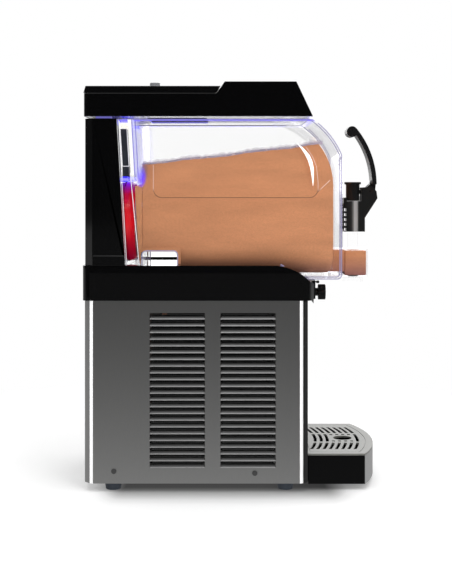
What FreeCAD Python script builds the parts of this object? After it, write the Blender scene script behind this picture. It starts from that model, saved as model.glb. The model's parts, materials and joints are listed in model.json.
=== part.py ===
import FreeCAD, Part
import Sketcher
import math
import os
import re

# A countertop milkshake machine: a steel cabinet with the refrigeration set, a moulded deck and
# rear column, a clear bowl that slides off forwards over a fixed evaporator and its auger, a
# lever tap on the bowl's front, a hood with a filling lid, and a drip tray.
# Frame: +Z up, front towards -Y, origin on the ground below the middle of the machine.

doc = FreeCAD.newDocument("MilkshakeMachine")
sheet = doc.addObject("Spreadsheet::Sheet", "Sizes")
size_names = []
nodes = {}
levels = {}


# Sizes, in millimetres and degrees

def size(alias, value, note):
    """One driving dimension: a row of the sheet with its note, its number and its alias."""
    row = len(size_names) + 1
    sheet.set("A%d" % row, note)
    sheet.set("B%d" % row, str(value))
    sheet.setAlias("B%d" % row, alias)
    size_names.append(alias)


def level(alias, storey, rise, note):
    """A height that follows a storey of the machine: the sheet holds its distance from there."""
    size(alias.replace("_z", "_rise"), rise, note + ", from the top of the " + storey)
    levels[alias] = "(%s + %s)" % (STOREYS[storey], alias.replace("_z", "_rise"))


# The main sizes of the machine
BODY_WIDTH = 260
CABINET_HEIGHT = 298
DECK_HEIGHT = 57
COLUMN_HEIGHT = 241
COVER_HEIGHT = 50

STOREYS = {"cabinet": "foot_height + cabinet_height",
           "deck": "foot_height + cabinet_height + deck_height",
           "column": "foot_height + cabinet_height + deck_height + column_height"}

size("body_width", BODY_WIDTH, "outer width over the side panels")
size("foot_height", 14, "height of a foot")
size("foot_bottom_r", 12.5, "radius of a foot on the ground")
size("foot_top_r", 14.4, "radius of a foot under the pan")
size("foot_rear_y", 200, "rear pair of feet")
size("foot_front_y", -84, "front pair of feet")
size("foot_side_inset", 25, "foot axis from the side of the cabinet")
size("cabinet_height", CABINET_HEIGHT, "side panel height above the feet")
size("cabinet_rear_y", 245.6, "outer face of the rear panel")
size("cabinet_front_y", -120, "outer face of the front panel")
size("corner_cut", 14.4, "length of the slanting corner strip of a side panel along Y")
size("bevel_length", 5.4, "length along Y of the bright bevels at a side panel's two ends")
size("bevel_depth", 2.2, "depth along X of those bevels")
size("corner_depth", 12, "depth of the slanting corner strip along X")
size("front_cut", 6, "front corner strip along Y")
size("front_panel_thick", 8, "thickness of the moulded front panel")
size("sheet_thick", 1.2, "steel sheet of the panels")
size("pan_thick", 2, "steel sheet of the base pan")
size("pan_rim", 22, "height of the base pan's upturned rim")
size("panel_gap", 0.4, "gap between neighbouring sheet parts")

size("louvre_count", 23, "louvres in a column")
size("louvre_pitch", 11, "louvre pitch")
level("louvre_first_z", "cabinet", -20, "top edge of the first louvre")
size("louvre_length", 84, "length of a louvre at its mouth")
size("louvre_flare", 3, "slant of a louvre's end")
size("louvre_depth", 4.5, "depth that a louvre is pressed inwards")
size("louvre_mouth", 3.4, "open height of a louvre")
size("louvre_height", 6.6, "height of a louvre blade")
size("louvre_rear_y", 93.5, "middle of the rear louvre column")
size("louvre_front_y", -22, "middle of the front louvre column")

size("deck_height", DECK_HEIGHT, "height of the deck moulding")
size("deck_rear_y", 248.75, "rear end of the deck")
size("deck_front_y", -128, "front end of the deck")
size("deck_wall", 3, "wall of the deck moulding")
size("deck_edge_drop", 12, "height of the sloping shoulder along the deck's top")
size("deck_edge_in", 4, "how far that shoulder leans inwards")
size("deck_bend_y", -62, "where the deck's top starts to curve down")
size("deck_nose_height", 26, "height of the deck's front face")
size("deck_corner_r", 12, "vertical corners of the deck")

size("column_front_low_y", 179, "foot of the column's leaning front face")
size("column_front_high_y", 193, "head of the column's leaning front face")
size("column_wall", 3, "wall of the column moulding")
size("column_chamfer", 13, "chamfer along the column's rear corners")
size("column_height", COLUMN_HEIGHT, "height of the column above the deck")
size("column_foot", 16, "height of the plinth at the column's foot")
size("column_foot_out", 1.5, "how far the plinth stands out")
size("cover_gap", 3, "joint between column and top cover")

size("cover_height", COVER_HEIGHT, "height of the top cover at the rear")
size("cover_raise", 7, "extra height of the raised front part")
size("cover_lid_drop", 12, "height of the lid's sloping rim")
size("cover_lid_in", 3, "how far the lid's rim leans inwards")
size("cover_rear_y", 246.7, "rear end of the top cover")
size("cover_front_low_y", -128, "front end of the cover at its lower edge")
size("cover_front_high_y", -101, "front end of the cover at its top")
size("cover_riser_low_y", 29, "foot of the riser between the lid and the raised part")
size("cover_riser_high_y", 16, "head of that riser")
size("cover_wall", 3, "wall of the top cover")
size("lid_gap", 0.4, "gap round the filling lid")
size("lid_plug", 8, "depth of the lid's rim inside the filling opening")
size("fill_half", 86, "half width of the filling opening")
size("fill_front_y", 46, "front of the filling opening")
size("fill_rear_y", 148, "rear of the filling opening")
size("liner_thick", 2, "clear plate under the raised front part")
size("light_thick", 9, "thickness of a light strip")
size("light_height", 8, "height of a light strip")
level("light_top_z", "column", -1, "top of the upper light strip")
level("light_low_z", "column", -95, "top of the lower light strip")
size("light_top_half", 86, "half length of the upper light strip")
size("light_low_half", 86, "half length of the lower light strip")
size("housing_thick", 12, "thickness of the light housing between the strips")

size("bowl_inset", 25, "side of the bowl from the side of the cabinet")
size("bowl_wall", 3, "wall of the bowl's outer shell")
size("bowl_top_gap", 3, "gap between the bowl's rim and the top cover")
size("bowl_front_y", -187, "foremost point of the bowl's outer shell")
size("bowl_front_bulge", 10, "how far the bowl's front bulges beyond its side walls")
size("bowl_seat_gap", 0.6, "gap under and beside the bowl where it slides on the deck")
size("bowl_rear_gap", 1, "gap between the bowl's flange and the column")
level("bowl_belly_z", "deck", -23.5, "underside of the bowl in front of the deck")
size("bowl_belly_rear_y", -108, "rear end of that belly")
size("bowl_slope_y", -80, "where the underside of the bowl starts to slope to the belly")
size("bowl_shoulder_y", -129, "front end of the bowl's rim")
size("bowl_shoulder_drop", 110, "height over which the bowl's front curves down from the rim")
level("bowl_panel_z", "deck", 111, "stepped line on the bowl's sides")
size("bowl_panel_rear_y", 134, "rear end of the stepped panel")
size("bowl_panel_front_y", -138, "front end of the stepped panel")
size("bowl_panel_depth", 0.8, "depth of the stepped panel")
size("bowl_flange_out", 2.2, "depth of the bowl's rear flange along Y")
size("tub_wall", 2.2, "wall of the bowl's inner tub")
size("tub_side_gap", 9, "air gap between the tub and the outer shell's sides")
size("tub_front_gap", 17, "air gap at the front")
size("tub_rear_y", 156, "rear wall of the tub")
size("tub_floor_gap", 1.6, "gap between the tub and the shell's floor")
size("tub_round", 48, "rounding of the tub's lower edges")
size("tunnel_front_y", 94, "front end of the finger tunnel under the bowl")
size("tunnel_rear_y", 153, "rear end of the finger tunnel")
level("tunnel_roof_z", "deck", 23, "roof of the finger tunnel")
size("tunnel_round", 7, "rounded top corners of the finger cut-out")
size("channel_rear_drop", 3, "depth of the deck's slideway at the rear")
size("channel_front_drop", 14, "depth of the deck's channel for the bowl's belly")
size("channel_front_y", 96, "rear end of the deeper channel")

level("chill_axis_z", "deck", 81, "axis of evaporator and auger")
size("chill_r", 42, "radius of the evaporator drum")
size("chill_wall", 1.5, "wall of the evaporator drum")
size("chill_front_y", -118, "front end of the evaporator drum")
size("auger_r", 53.5, "outer radius of the auger")
size("auger_thick", 4, "thickness of the auger's blade")
size("auger_gap", 0.6, "gap between auger and evaporator")
size("auger_pitch", 66, "pitch of the auger's blade")
size("auger_turns", 4, "turns of the auger's blade")
size("auger_sides", 16, "flat sides to one turn of the blade")
size("auger_ring", 9, "length of the auger's end rings")
size("shaft_r", 5, "radius of the drive shaft")
size("shaft_gap", 0.05, "running clearance of shafts and pins")
size("gasket_r", 68, "outer radius of the bowl gasket")
level("gasket_axis_z", "deck", 69, "axis of the bowl gasket")
size("gasket_thick", 7, "thickness of the gasket ring")
size("gasket_front_y", 161, "front end of the gasket")
size("gasket_rear_y", 186, "rear end of the gasket, inside the column")
size("collar_gap", 0.3, "gap between gasket and the bowl's collar")
size("bulkhead_thick", 4, "plate of the evaporator's bulkhead")

size("tap_axis_y", -207, "axis of the tap")
level("tap_top_z", "deck", 137, "top of the tap's head")
level("tap_seam_z", "deck", 104, "seam between the tap's head and its sleeve")
level("tap_bottom_z", "deck", 51, "lower end of the tap's sleeve")
size("tap_r", 12, "outer radius of the tap's sleeve and head")
size("tap_head_r", 14.4, "radius of the head's top disc")
size("piston_r", 9, "radius of the tap's piston")
size("piston_gap", 0.08, "running clearance of the piston")
size("tap_plate_y", -190, "rear face of the tap's back plate")
size("tap_plate_thick", 5.7, "thickness of the tap's back plate")
level("tap_plate_top_z", "deck", 110, "top of the tap's back plate")
size("tap_plate_width", 24, "width of the tap's back plate")
size("tap_slot_pitch", 8.5, "pitch of the five slots behind the sleeve")
size("gusset_front_y", -243, "front end of the sleeve's gusset")
size("gusset_low_y", -227, "front of the gusset's lower part")
level("gusset_low_z", "deck", 75, "lower end of the gusset's slant")
size("gusset_width", 24, "width of the gusset")
size("lever_pivot_y", -236, "axis of the lever pin")
level("lever_pivot_z", "deck", 121, "height of the lever pin")
size("lever_pin_r", 2, "radius of the lever pin")
size("lever_hub_width", 14, "width of the lever between its ears")
size("lever_width", 38, "width of the lever's grip")
size("lever_thick", 8, "thickness of the lever's grip")
size("lever_roll_r", 9.4, "radius of the rolled end")
size("lever_bow_r", 152.5, "outer radius of the lever's bow")
size("lever_bow_angle", 39.6, "angle of the lever's bow")
size("lever_front_y", -246.4, "foremost point of the lever")
size("ear_front_y", -248.75, "foremost point of the ears that hold the lever pin")
level("lever_elbow_z", "deck", 133, "height where the lever's bow starts")
size("lever_open", 36, "opening angle of the lever")
size("lever_hub_r", 6, "radius of the lever's hub")
size("lever_toe_y", -213.5, "end of the lever's toe in the tap's head")
level("lever_toe_z", "deck", 119.5, "height of the toe's end")
size("lever_toe_r", 3.5, "radius of the toe's end")
size("lever_toe_width", 8, "width of the lever's toe")
size("piston_lift", 13.5, "lift of the piston at full opening")

size("spigot_width", 54, "width of the spigot block")
size("spigot_front_y", -230.8, "front face of the spigot block")
level("spigot_top_z", "deck", 22, "top of the spigot block")
level("spigot_bottom_z", "deck", -27, "underside of the spigot block")
size("spigot_wall", 3, "wall of the spigot block")
size("spigot_round", 7, "rounding of the block's upright front edges")
size("spout_drop", 11, "height of the spout ring")
size("spout_r", 17, "outer radius of the spout ring")
size("spout_wall", 3, "wall of the spout ring")
size("outlet_half", 24, "half width of the passage from the tub into the spigot block")
level("outlet_low_z", "deck", -17.5, "floor of that passage")
level("outlet_high_z", "deck", 19.8, "roof of that passage")

size("tray_inset", 12, "side of the drip tray from the side of the cabinet")
size("tray_front_y", -239.5, "front of the drip tray")
size("tray_top_z", 60, "top of the drip tray")
size("tray_bottom_z", 10, "underside of the drip tray")
size("tray_wall", 3, "wall of the drip tray")
size("tray_bow", 25, "bow of the tray's front")
size("tray_fascia", 3, "thickness of the tray's front fascia in the middle")
size("grille_thick", 3, "thickness of the drip grille")
size("grille_rim", 12, "width of the rim round the grille's slots")
size("grille_groove", 0.9, "width of the groove between that rim and the slots")
size("grille_slot", 5.2, "width of a grille slot")
size("grille_pitch", 10.4, "pitch of the grille's slots")
size("grille_first_y", -138.4, "rear edge of the first slot at the middle")
size("finger_hole_r", 16, "finger hole in the grille")
size("finger_hole_y", -189, "middle of that hole")

level("knob_axis_z", "deck", -54.4, "axis of the clamp knob")
size("knob_r", 13.4, "radius of the clamp knob")
size("knob_rear_y", -146.5, "rear face of the clamp knob")
size("knob_length", 12.6, "length of the clamp knob")
size("knob_flutes", 12, "flutes round the clamp knob")
size("knob_screw_r", 4, "radius of the clamp screw")
size("bracket_width", 40, "width of the clamp bracket")
size("bracket_thick", 4, "thickness of the clamp bracket")
level("bracket_top_z", "deck", -33, "top of the clamp bracket")
level("bracket_bottom_z", "deck", -65, "lower end of the clamp bracket")
size("ball_r", 2.4, "radius of the bracket's ball end")
size("fascia_thick", 2, "thickness of the deck's fascia")


size("lid_knob_r", 9, "radius of the lid's knob")
size("lid_knob_rise", 15.8, "height of the lid's knob above the lid")
size("lid_knob_stem_r", 5, "radius of the knob's stem")

size("compressor_r", 50, "radius of the compressor's shell")
size("compressor_height", 125, "height of the compressor's shell")
size("compressor_y", 165, "place of the compressor along Y")
size("compressor_x", 40, "place of the compressor across the cabinet")
size("grommet_height", 12, "height of the compressor's rubber mounts")
size("condenser_height", 262, "height of the condenser")
size("condenser_depth", 44, "depth of the condenser along X")
size("condenser_length", 200, "length of the condenser along Y")
size("condenser_inset", 18, "outer face of the condenser from the side of the cabinet")
size("condenser_y", 36, "middle of the condenser along Y")
size("fin_count", 22, "condenser fins")
size("fin_thick", 1.2, "thickness of a condenser fin")
size("fan_r", 72, "radius of the fan")
size("fan_gap", 3, "gap between fan and shroud")
size("fan_blades", 5, "blades of the fan")
size("fan_motor_r", 26, "radius of the fan motor")
size("fan_motor_length", 46, "length of the fan motor")
size("pipe_r", 4, "radius of the refrigerant pipes")

size("column_side_in", 3, "how far the column stays inside the cabinet's side")
size("column_cover_thick", 2.5, "thickness of the column's rear cover")
size("column_vents", 6, "vent slots in the column's rear cover")
size("vent_length", 120, "length of a vent slot")
size("vent_slot", 4, "height of a vent slot")
size("vent_pitch", 9, "pitch of the vent slots")
level("vent_first_z", "cabinet", -32, "top of the first slot in the rear panel")
size("vent_count", 18, "vent slots in the rear panel")
size("inlet_x", -70, "place of the mains inlet")
size("inlet_z", 32, "height of the mains inlet and the switch")
size("inlet_width", 28, "width of the inlet's cut-out")
size("inlet_height", 21, "height of the inlet's cut-out")
size("inlet_proud", 3, "how far the inlet's frame stands out")
size("inlet_depth", 24, "depth of the inlet behind the panel")
size("switch_x", 70, "place of the rocker switch")
size("switch_width", 14, "width of the switch's cut-out")
size("switch_height", 21, "height of the switch's cut-out")
size("switch_throw", 10, "angle of the rocker to each side")
size("display_width", 96, "width of the control display")
size("display_height", 46, "height of the control display")
size("display_thick", 2, "thickness of the display's glass")
level("display_z", "cabinet", -44, "middle of the control display")
size("duct_width", 90, "width of the duct from cabinet to column")
size("duct_front_y", 198, "front of the duct through the deck")
size("duct_rear_y", 236, "rear of the duct through the deck")
size("fascia_lip", 6, "lip of the fascia below the deck")

size("bowl_corner_r", 8, "rounding of the bowl's lower front edge")
size("bowl_panel_round", 14, "corners of the stepped panel")
level("grip_low_z", "column", -78, "lower end of the slot in the rear flange")
level("grip_high_z", "column", -16, "upper end of the slot in the rear flange")
size("grip_width", 11, "width of the slot in the rear flange")
size("collar_rear_y", 173, "rear end of the bowl's collar")
size("rim_thick", 4, "thickness of the bowl's rim")
size("cover_corner_r", 8, "upright rear corners of the top cover")

size("bulkhead_half", 76, "half size of the bulkhead's square plate")
size("seal_thick", 4, "thickness of the shaft seal's ring")
size("seal_length", 9, "length of the shaft seal")
size("bush_length", 16, "length of the auger shaft's front bush")
size("auger_rear_y", 152, "rear end of the auger")
size("shaft_tip", 9, "shaft length in front of the auger")
size("nut_r", 12, "radius of the auger nut")
size("gearbox_front_y", 206, "front face of the gearbox")
size("gearbox_depth", 33, "depth of the gearbox")
size("gearbox_half", 30, "half width of the gearbox")
size("motor_r", 16, "radius of the drive motor")
size("motor_length", 80, "length of the drive motor")
size("post_r", 4, "radius of the gearbox posts")


# Ways of writing the sizes into the model

def sized(text):
    """An expression in the sheet's own names, with the sheet's label put before each alias."""
    def full(match):
        word = match.group(0)
        if word in levels:
            return sized(levels[word])
        return "Sizes." + word if word in size_names else word
    return re.sub(r"[a-z][a-z0-9_]*", full, str(text))


def value(text):
    """The number that an expression gives now."""
    found = sheet.evalExpression(sized(text))
    return float(getattr(found, "Value", found))


def bind(thing, field, text):
    """Tie one property of an object to an expression."""
    thing.setExpression(field, sized(text))


def keep(node, thing):
    """Name an object as a finished sub-part."""
    thing.Label = node
    nodes[node] = thing
    return thing


PLANES = {"XY": ("XY_Plane", 1), "XZ": ("XZ_Plane", -1), "YZ": ("YZ_Plane", 1)}


def new_body(name):
    return doc.addObject("PartDesign::Body", "Body_" + name)


def new_sketch(body, plane, at):
    """A sketch on the body's own origin plane, moved along the plane's axis to a world place."""
    role, sense = PLANES[plane]
    support = [f for f in body.Origin.OriginFeatures if f.Role == role][0]
    sketch = body.newObject("Sketcher::SketchObject", "Sketch")
    sketch.AttachmentSupport = [(support, "")]
    sketch.MapMode = "FlatFace"
    bind(sketch, "AttachmentOffset.Base.z", "(%s) * %d" % (at, sense))
    return sketch


def hold(sketch, kind, *places, text):
    """A driving constraint whose length follows an expression."""
    index = sketch.addConstraint(Sketcher.Constraint(kind, *places, value(text)))
    sketch.setExpression("Constraints[%d]" % index, sized(text))


def place_point(sketch, geo, end, across, up, free=""):
    """Fix one point of a sketch at two coordinates, or at one where an arc settles the other."""
    for kind, text, letter in (("DistanceX", across, "u"), ("DistanceY", up, "v")):
        if letter == free:
            continue
        if text == "0":
            axis = -2 if kind == "DistanceX" else -1
            sketch.addConstraint(Sketcher.Constraint("PointOnObject", geo, end, axis))
        else:
            hold(sketch, kind, -1, 1, geo, end, text=text)


def outline(points, arcs=None):
    """A closed outline through points given as pairs of expressions.

    arcs gives, for the edge that leaves a point, its centre and its sense, +1 for
    counterclockwise. A third entry of a point names the coordinate that the arc settles.
    """
    arcs = arcs or {}

    def draw(sketch):
        spots = [FreeCAD.Vector(value(p[0]), value(p[1]), 0) for p in points]
        first = sketch.GeometryCount
        count = len(points)
        heads = []
        for i in range(count):
            a, b = spots[i], spots[(i + 1) % count]
            if i not in arcs:
                sketch.addGeometry(Part.LineSegment(a, b))
                heads.append((1, 2))
                continue
            across, up, sense = arcs[i]
            middle = FreeCAD.Vector(value(across), value(up), 0)
            start, end = (a, b) if sense > 0 else (b, a)
            ring = Part.Circle(middle, FreeCAD.Vector(0, 0, 1), (a - middle).Length)
            turns = [math.atan2(p.y - middle.y, p.x - middle.x) for p in (start, end)]
            sketch.addGeometry(Part.ArcOfCircle(ring, turns[0], turns[1]))
            heads.append((1, 2) if sense > 0 else (2, 1))
        for i in range(count):
            after = (i + 1) % count
            sketch.addConstraint(Sketcher.Constraint(
                "Coincident", first + i, heads[i][1], first + after, heads[after][0]))
        for i, point in enumerate(points):
            free = point[2] if len(point) > 2 else ""
            place_point(sketch, first + i, heads[i][0], point[0], point[1], free)
        for i, (across, up, sense) in arcs.items():
            place_point(sketch, first + i, 3, across, up)
    return draw


def rectangle(low_u, low_v, high_u, high_v):
    return outline([(low_u, low_v), (high_u, low_v), (high_u, high_v), (low_u, high_v)])


def circle(across, up, radius):
    def draw(sketch):
        middle = FreeCAD.Vector(value(across), value(up), 0)
        geo = sketch.addGeometry(Part.Circle(middle, FreeCAD.Vector(0, 0, 1), value(radius)))
        place_point(sketch, geo, 3, across, up)
        hold(sketch, "Radius", geo, text=radius)
    return draw


def add(body, plane, low, high, *outlines):
    """Pad outlines between two world places along the plane's axis."""
    start = high if plane == "XZ" else low
    sketch = new_sketch(body, plane, start)
    for draw in outlines:
        draw(sketch)
    pad = body.newObject("PartDesign::Pad", "Pad")
    pad.Profile = sketch
    bind(pad, "Length", "(%s) - (%s)" % (high, low))
    return pad


def cut(body, plane, low, high, *outlines):
    """Pocket outlines between two world places along the plane's axis."""
    start = low if plane == "XZ" else high
    sketch = new_sketch(body, plane, start)
    for draw in outlines:
        draw(sketch)
    pocket = body.newObject("PartDesign::Pocket", "Pocket")
    pocket.Profile = sketch
    bind(pocket, "Length", "(%s) - (%s)" % (high, low))
    return pocket


def row(body, feature, count, pitch, role="Z_Axis", backwards=True):
    """Repeat one feature of a body at an even pitch along an axis."""
    doc.recompute()
    pattern = body.newObject("PartDesign::LinearPattern", "Row")
    pattern.Originals = [feature]
    pattern.Refine = False
    axis = [f for f in body.Origin.OriginFeatures if f.Role == role][0]
    pattern.Direction = (axis, [""])
    pattern.Reversed = backwards
    bind(pattern, "Occurrences", count)
    bind(pattern, "Length", "(%s - 1) * %s" % (count, pitch))
    body.Tip = pattern
    return pattern


def turned(body, kind, plane, at, outline, axis):
    """Revolve or groove an outline about the sketch's own horizontal or vertical axis."""
    sketch = new_sketch(body, plane, at)
    outline(sketch)
    feature = body.newObject("PartDesign::" + kind, kind)
    feature.Profile = sketch
    feature.ReferenceAxis = (sketch, [axis])
    feature.Angle = 360
    return feature


def edges_near(shape, tests):
    """Names of the straight edges that run along an axis through given places."""
    found = []
    for number, edge in enumerate(shape.Edges, 1):
        if len(edge.Vertexes) != 2 or edge.Curve.TypeId != "Part::GeomLine":
            continue
        a, b = (v.Point for v in edge.Vertexes)
        run = b - a
        middle = (a + b) * 0.5
        for axis, spots in tests:
            along = {"X": run.x, "Y": run.y, "Z": run.z}[axis]
            if abs(abs(along) - run.Length) > 1e-4:
                continue
            pair = {"X": (middle.y, middle.z), "Y": (middle.x, middle.z),
                    "Z": (middle.x, middle.y)}[axis]
            if any(math.dist(pair, spot) < 0.02 for spot in spots):
                found.append("Edge%d" % number)
                break
    return found


def dress(body, kind, size_text, *tests):
    """Fillet or chamfer the edges that run along an axis through given places."""
    doc.recompute()
    tests = [(axis, [(value(a), value(b)) for a, b in spots]) for axis, spots in tests]
    base = body.Tip
    names = edges_near(base.Shape, tests)
    if not names:
        raise ValueError("no edge to dress in " + body.Name)
    feature = body.newObject("PartDesign::" + kind, kind)
    feature.Base = (base, names)
    bind(feature, "Radius" if kind == "Fillet" else "Size", size_text)
    return feature


def cylinder(name, radius, length, x, y, z, along="Z"):
    """A Part cylinder that starts at a point and runs along +X, +Y or +Z."""
    shape = doc.addObject("Part::Cylinder", name)
    bind(shape, "Radius", radius)
    bind(shape, "Height", length)
    turn = {"Z": (0, 0, 1, 0), "Y": (1, 0, 0, -90), "X": (0, 1, 0, 90)}[along]
    axis = FreeCAD.Vector(*turn[:3])
    shape.Placement = FreeCAD.Placement(FreeCAD.Vector(), FreeCAD.Rotation(axis, turn[3]))
    for letter, text in zip("xyz", (x, y, z)):
        bind(shape, "Placement.Base." + letter, text)
    return shape


def rod(name, sides, radius, length, x, y, z, along="Z"):
    """A rod with flat sides, by the radius over its corners, that runs along +X, +Y or +Z."""
    shape = doc.addObject("Part::Prism", name)
    shape.Polygon = sides
    bind(shape, "Circumradius", radius)
    bind(shape, "Height", length)
    turn = {"Z": (0, 0, 1, 0), "Y": (1, 0, 0, -90), "X": (0, 1, 0, 90)}[along]
    axis = FreeCAD.Vector(*turn[:3])
    shape.Placement = FreeCAD.Placement(FreeCAD.Vector(), FreeCAD.Rotation(axis, turn[3]))
    for letter, text in zip("xyz", (x, y, z)):
        bind(shape, "Placement.Base." + letter, text)
    return shape


def block(name, low, high):
    """A Part box between two corners."""
    shape = doc.addObject("Part::Box", name)
    for field, a, b in zip(("Length", "Width", "Height"), low, high):
        bind(shape, field, "(%s) - (%s)" % (b, a))
    for letter, text in zip("xyz", low):
        bind(shape, "Placement.Base." + letter, text)
    return shape


def joined(name, *things):
    fuse = doc.addObject("Part::MultiFuse", name)
    fuse.Shapes = list(things)
    return fuse


def without(name, base, tool):
    cutter = doc.addObject("Part::Cut", name)
    cutter.Base = base
    cutter.Tool = tool
    return cutter


def common(name, first, second):
    shared = doc.addObject("Part::Common", name)
    shared.Base = first
    shared.Tool = second
    return shared


def together(name, *things):
    """Separate solids of like pieces kept in one node."""
    group = doc.addObject("Part::Compound", name)
    group.Links = list(things)
    return group


# Levels and sides that several pieces share

HALF = "(body_width / 2)"
DECK_BOTTOM = "(foot_height + cabinet_height)"
DECK_TOP = "(foot_height + cabinet_height + deck_height)"
COLUMN_TOP = "(foot_height + cabinet_height + deck_height + column_height)"
COVER_BOTTOM = "(foot_height + cabinet_height + deck_height + column_height + cover_gap)"
COVER_TOP = "(foot_height + cabinet_height + deck_height + column_height + cover_gap + cover_height)"
PANEL_FRONT = "(cabinet_front_y + front_panel_thick)"
PAN_SIDE = "(body_width / 2 - sheet_thick - 2 * panel_gap)"
PAN_REAR = "(cabinet_rear_y - sheet_thick - panel_gap)"
PAN_FRONT = "(cabinet_front_y + front_panel_thick + sheet_thick + panel_gap)"


# Cabinet

def make_base_pan():
    body = new_body("base_pan")
    corner = [("-" + PAN_SIDE, PAN_FRONT + " + bevel_length / 2"),
              ("-" + PAN_SIDE + " + bevel_depth / 2", PAN_FRONT),
              (PAN_SIDE + " - bevel_depth / 2", PAN_FRONT),
              (PAN_SIDE, PAN_FRONT + " + bevel_length / 2"),
              (PAN_SIDE, PAN_REAR + " - corner_cut"),
              (PAN_SIDE + " - corner_depth", PAN_REAR),
              ("-" + PAN_SIDE + " + corner_depth", PAN_REAR),
              ("-" + PAN_SIDE, PAN_REAR + " - corner_cut")]
    inner = [("-" + PAN_SIDE + " + pan_thick", PAN_FRONT + " + pan_thick"),
             (PAN_SIDE + " - pan_thick", PAN_FRONT + " + pan_thick"),
             (PAN_SIDE + " - pan_thick", PAN_REAR + " - corner_cut - pan_thick / 2"),
             (PAN_SIDE + " - corner_depth - pan_thick / 2", PAN_REAR + " - pan_thick"),
             ("-" + PAN_SIDE + " + corner_depth + pan_thick / 2", PAN_REAR + " - pan_thick"),
             ("-" + PAN_SIDE + " + pan_thick", PAN_REAR + " - corner_cut - pan_thick / 2")]
    add(body, "XY", "foot_height", "foot_height + pan_rim", outline(corner))
    cut(body, "XY", "foot_height + pan_thick", "foot_height + pan_rim", outline(inner))
    for middle, width in (("inlet_x", "inlet_width"), ("switch_x", "switch_width")):
        cut(body, "XZ", PAN_REAR + " - pan_thick - 1", PAN_REAR + " + 1",
            rectangle("%s - %s / 2 - 1" % (middle, width), "foot_height + pan_thick",
                      "%s + %s / 2 + 1" % (middle, width), "foot_height + pan_rim + 1"))
    keep("base_pan", body)


def make_feet():
    feet = []
    for side in ("-1", "1"):
        for where in ("foot_rear_y", "foot_front_y"):
            rings = []
            for radius, level_z in (("foot_bottom_r", "0"), ("foot_top_r", "foot_height")):
                ring = doc.addObject("Part::RegularPolygon", "FootRing")
                ring.Polygon = 16
                bind(ring, "Circumradius", radius)
                bind(ring, "Placement.Base.x", "%s * (%s - foot_side_inset)" % (side, HALF))
                bind(ring, "Placement.Base.y", where)
                bind(ring, "Placement.Base.z", level_z)
                rings.append(ring)
            foot = doc.addObject("Part::Loft", "Foot")
            foot.Sections = rings
            foot.Solid = True
            foot.Ruled = True
            feet.append(foot)
    keep("rubber_feet", together("Feet", *feet))


def make_side_panels():
    """A bent steel sheet with two columns of louvres pressed inwards, and its mirror image."""
    body = new_body("side_panel_left")
    edge = "cabinet_rear_y - corner_cut"
    plan = [("-%s + corner_depth" % HALF, "cabinet_rear_y"),
            ("-%s + bevel_depth" % HALF, edge + " + bevel_length"),
            ("-" + HALF, edge),
            ("-" + HALF, PANEL_FRONT + " + bevel_length"),
            ("-%s + bevel_depth" % HALF, PANEL_FRONT),
            ("-%s + 3 * corner_depth / 2" % HALF, PANEL_FRONT),
            ("-%s + 3 * corner_depth / 2" % HALF, PANEL_FRONT + " + sheet_thick"),
            ("-%s + bevel_depth + 0.9 * sheet_thick" % HALF, PANEL_FRONT + " + sheet_thick"),
            ("-%s + sheet_thick" % HALF, PANEL_FRONT + " + bevel_length + 0.2 * sheet_thick"),
            ("-%s + sheet_thick" % HALF, edge + " - 0.2 * sheet_thick"),
            ("-%s + bevel_depth + 0.85 * sheet_thick" % HALF,
             edge + " + bevel_length - 0.55 * sheet_thick"),
            ("-%s + corner_depth + 0.78 * sheet_thick" % HALF, "cabinet_rear_y - 0.62 * sheet_thick")]
    add(body, "XY", "foot_height", DECK_BOTTOM, outline(plan))
    for column in ("louvre_rear_y", "louvre_front_y"):
        blade_top = "louvre_first_z - louvre_mouth"
        for kind, inward in (("AdditiveWedge", "sheet_thick"), ("SubtractiveWedge", "0")):
            wedge = body.newObject("PartDesign::" + kind, kind)
            bind(wedge, "Xmin", "-louvre_length / 2 - louvre_flare")
            bind(wedge, "Xmax", "louvre_length / 2 + louvre_flare")
            bind(wedge, "X2min", "-louvre_length / 2")
            bind(wedge, "X2max", "louvre_length / 2")
            bind(wedge, "Ymin", "0")
            bind(wedge, "Ymax", "louvre_depth")
            bind(wedge, "Zmin", "0")
            bind(wedge, "Zmax", "louvre_height")
            bind(wedge, "Z2min", "louvre_height * 0.97")
            bind(wedge, "Z2max", "louvre_height")
            turn = FreeCAD.Rotation(FreeCAD.Vector(0, 0, 1), -90)
            wedge.Placement = FreeCAD.Placement(FreeCAD.Vector(), turn)
            bind(wedge, "Placement.Base.x", "-%s + %s" % (HALF, inward))
            bind(wedge, "Placement.Base.y", column)
            bind(wedge, "Placement.Base.z", blade_top + " - louvre_height")
            row(body, wedge, "louvre_count", "louvre_pitch")
        low = column + " - louvre_length / 2 - louvre_flare"
        high = column + " + louvre_length / 2 + louvre_flare"
        mouth = cut(body, "YZ", "-%s - 1" % HALF, "-%s + 2 * sheet_thick" % HALF,
                    rectangle(low, blade_top, high, "louvre_first_z"))
        row(body, mouth, "louvre_count", "louvre_pitch")
    keep("side_panel_left", body)
    mirror = doc.addObject("Part::Mirroring", "MirroredPanel")
    mirror.Source = body
    mirror.Normal = FreeCAD.Vector(1, 0, 0)
    keep("side_panel_right", mirror)

PANEL_INNER = "(%s - sheet_thick)" % HALF
COLUMN_HALF = "(body_width / 2 - column_side_in)"
OPENING_HALF = "(body_width / 2 - column_side_in - column_chamfer - 1)"
DECK_BEND_R = ("(((deck_bend_y - deck_front_y)^2 + (deck_height - deck_nose_height)^2)"
               " / (2 * (deck_height - deck_nose_height)))")
DECK_BEND_Z = "(%s - %s)" % (DECK_TOP, DECK_BEND_R)
SLIDE_Z = "(%s - channel_rear_drop)" % DECK_TOP
CHANNEL_Z = "(%s - channel_front_drop)" % DECK_TOP
COVER_RAISED = "(%s + cover_raise)" % COVER_TOP


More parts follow.
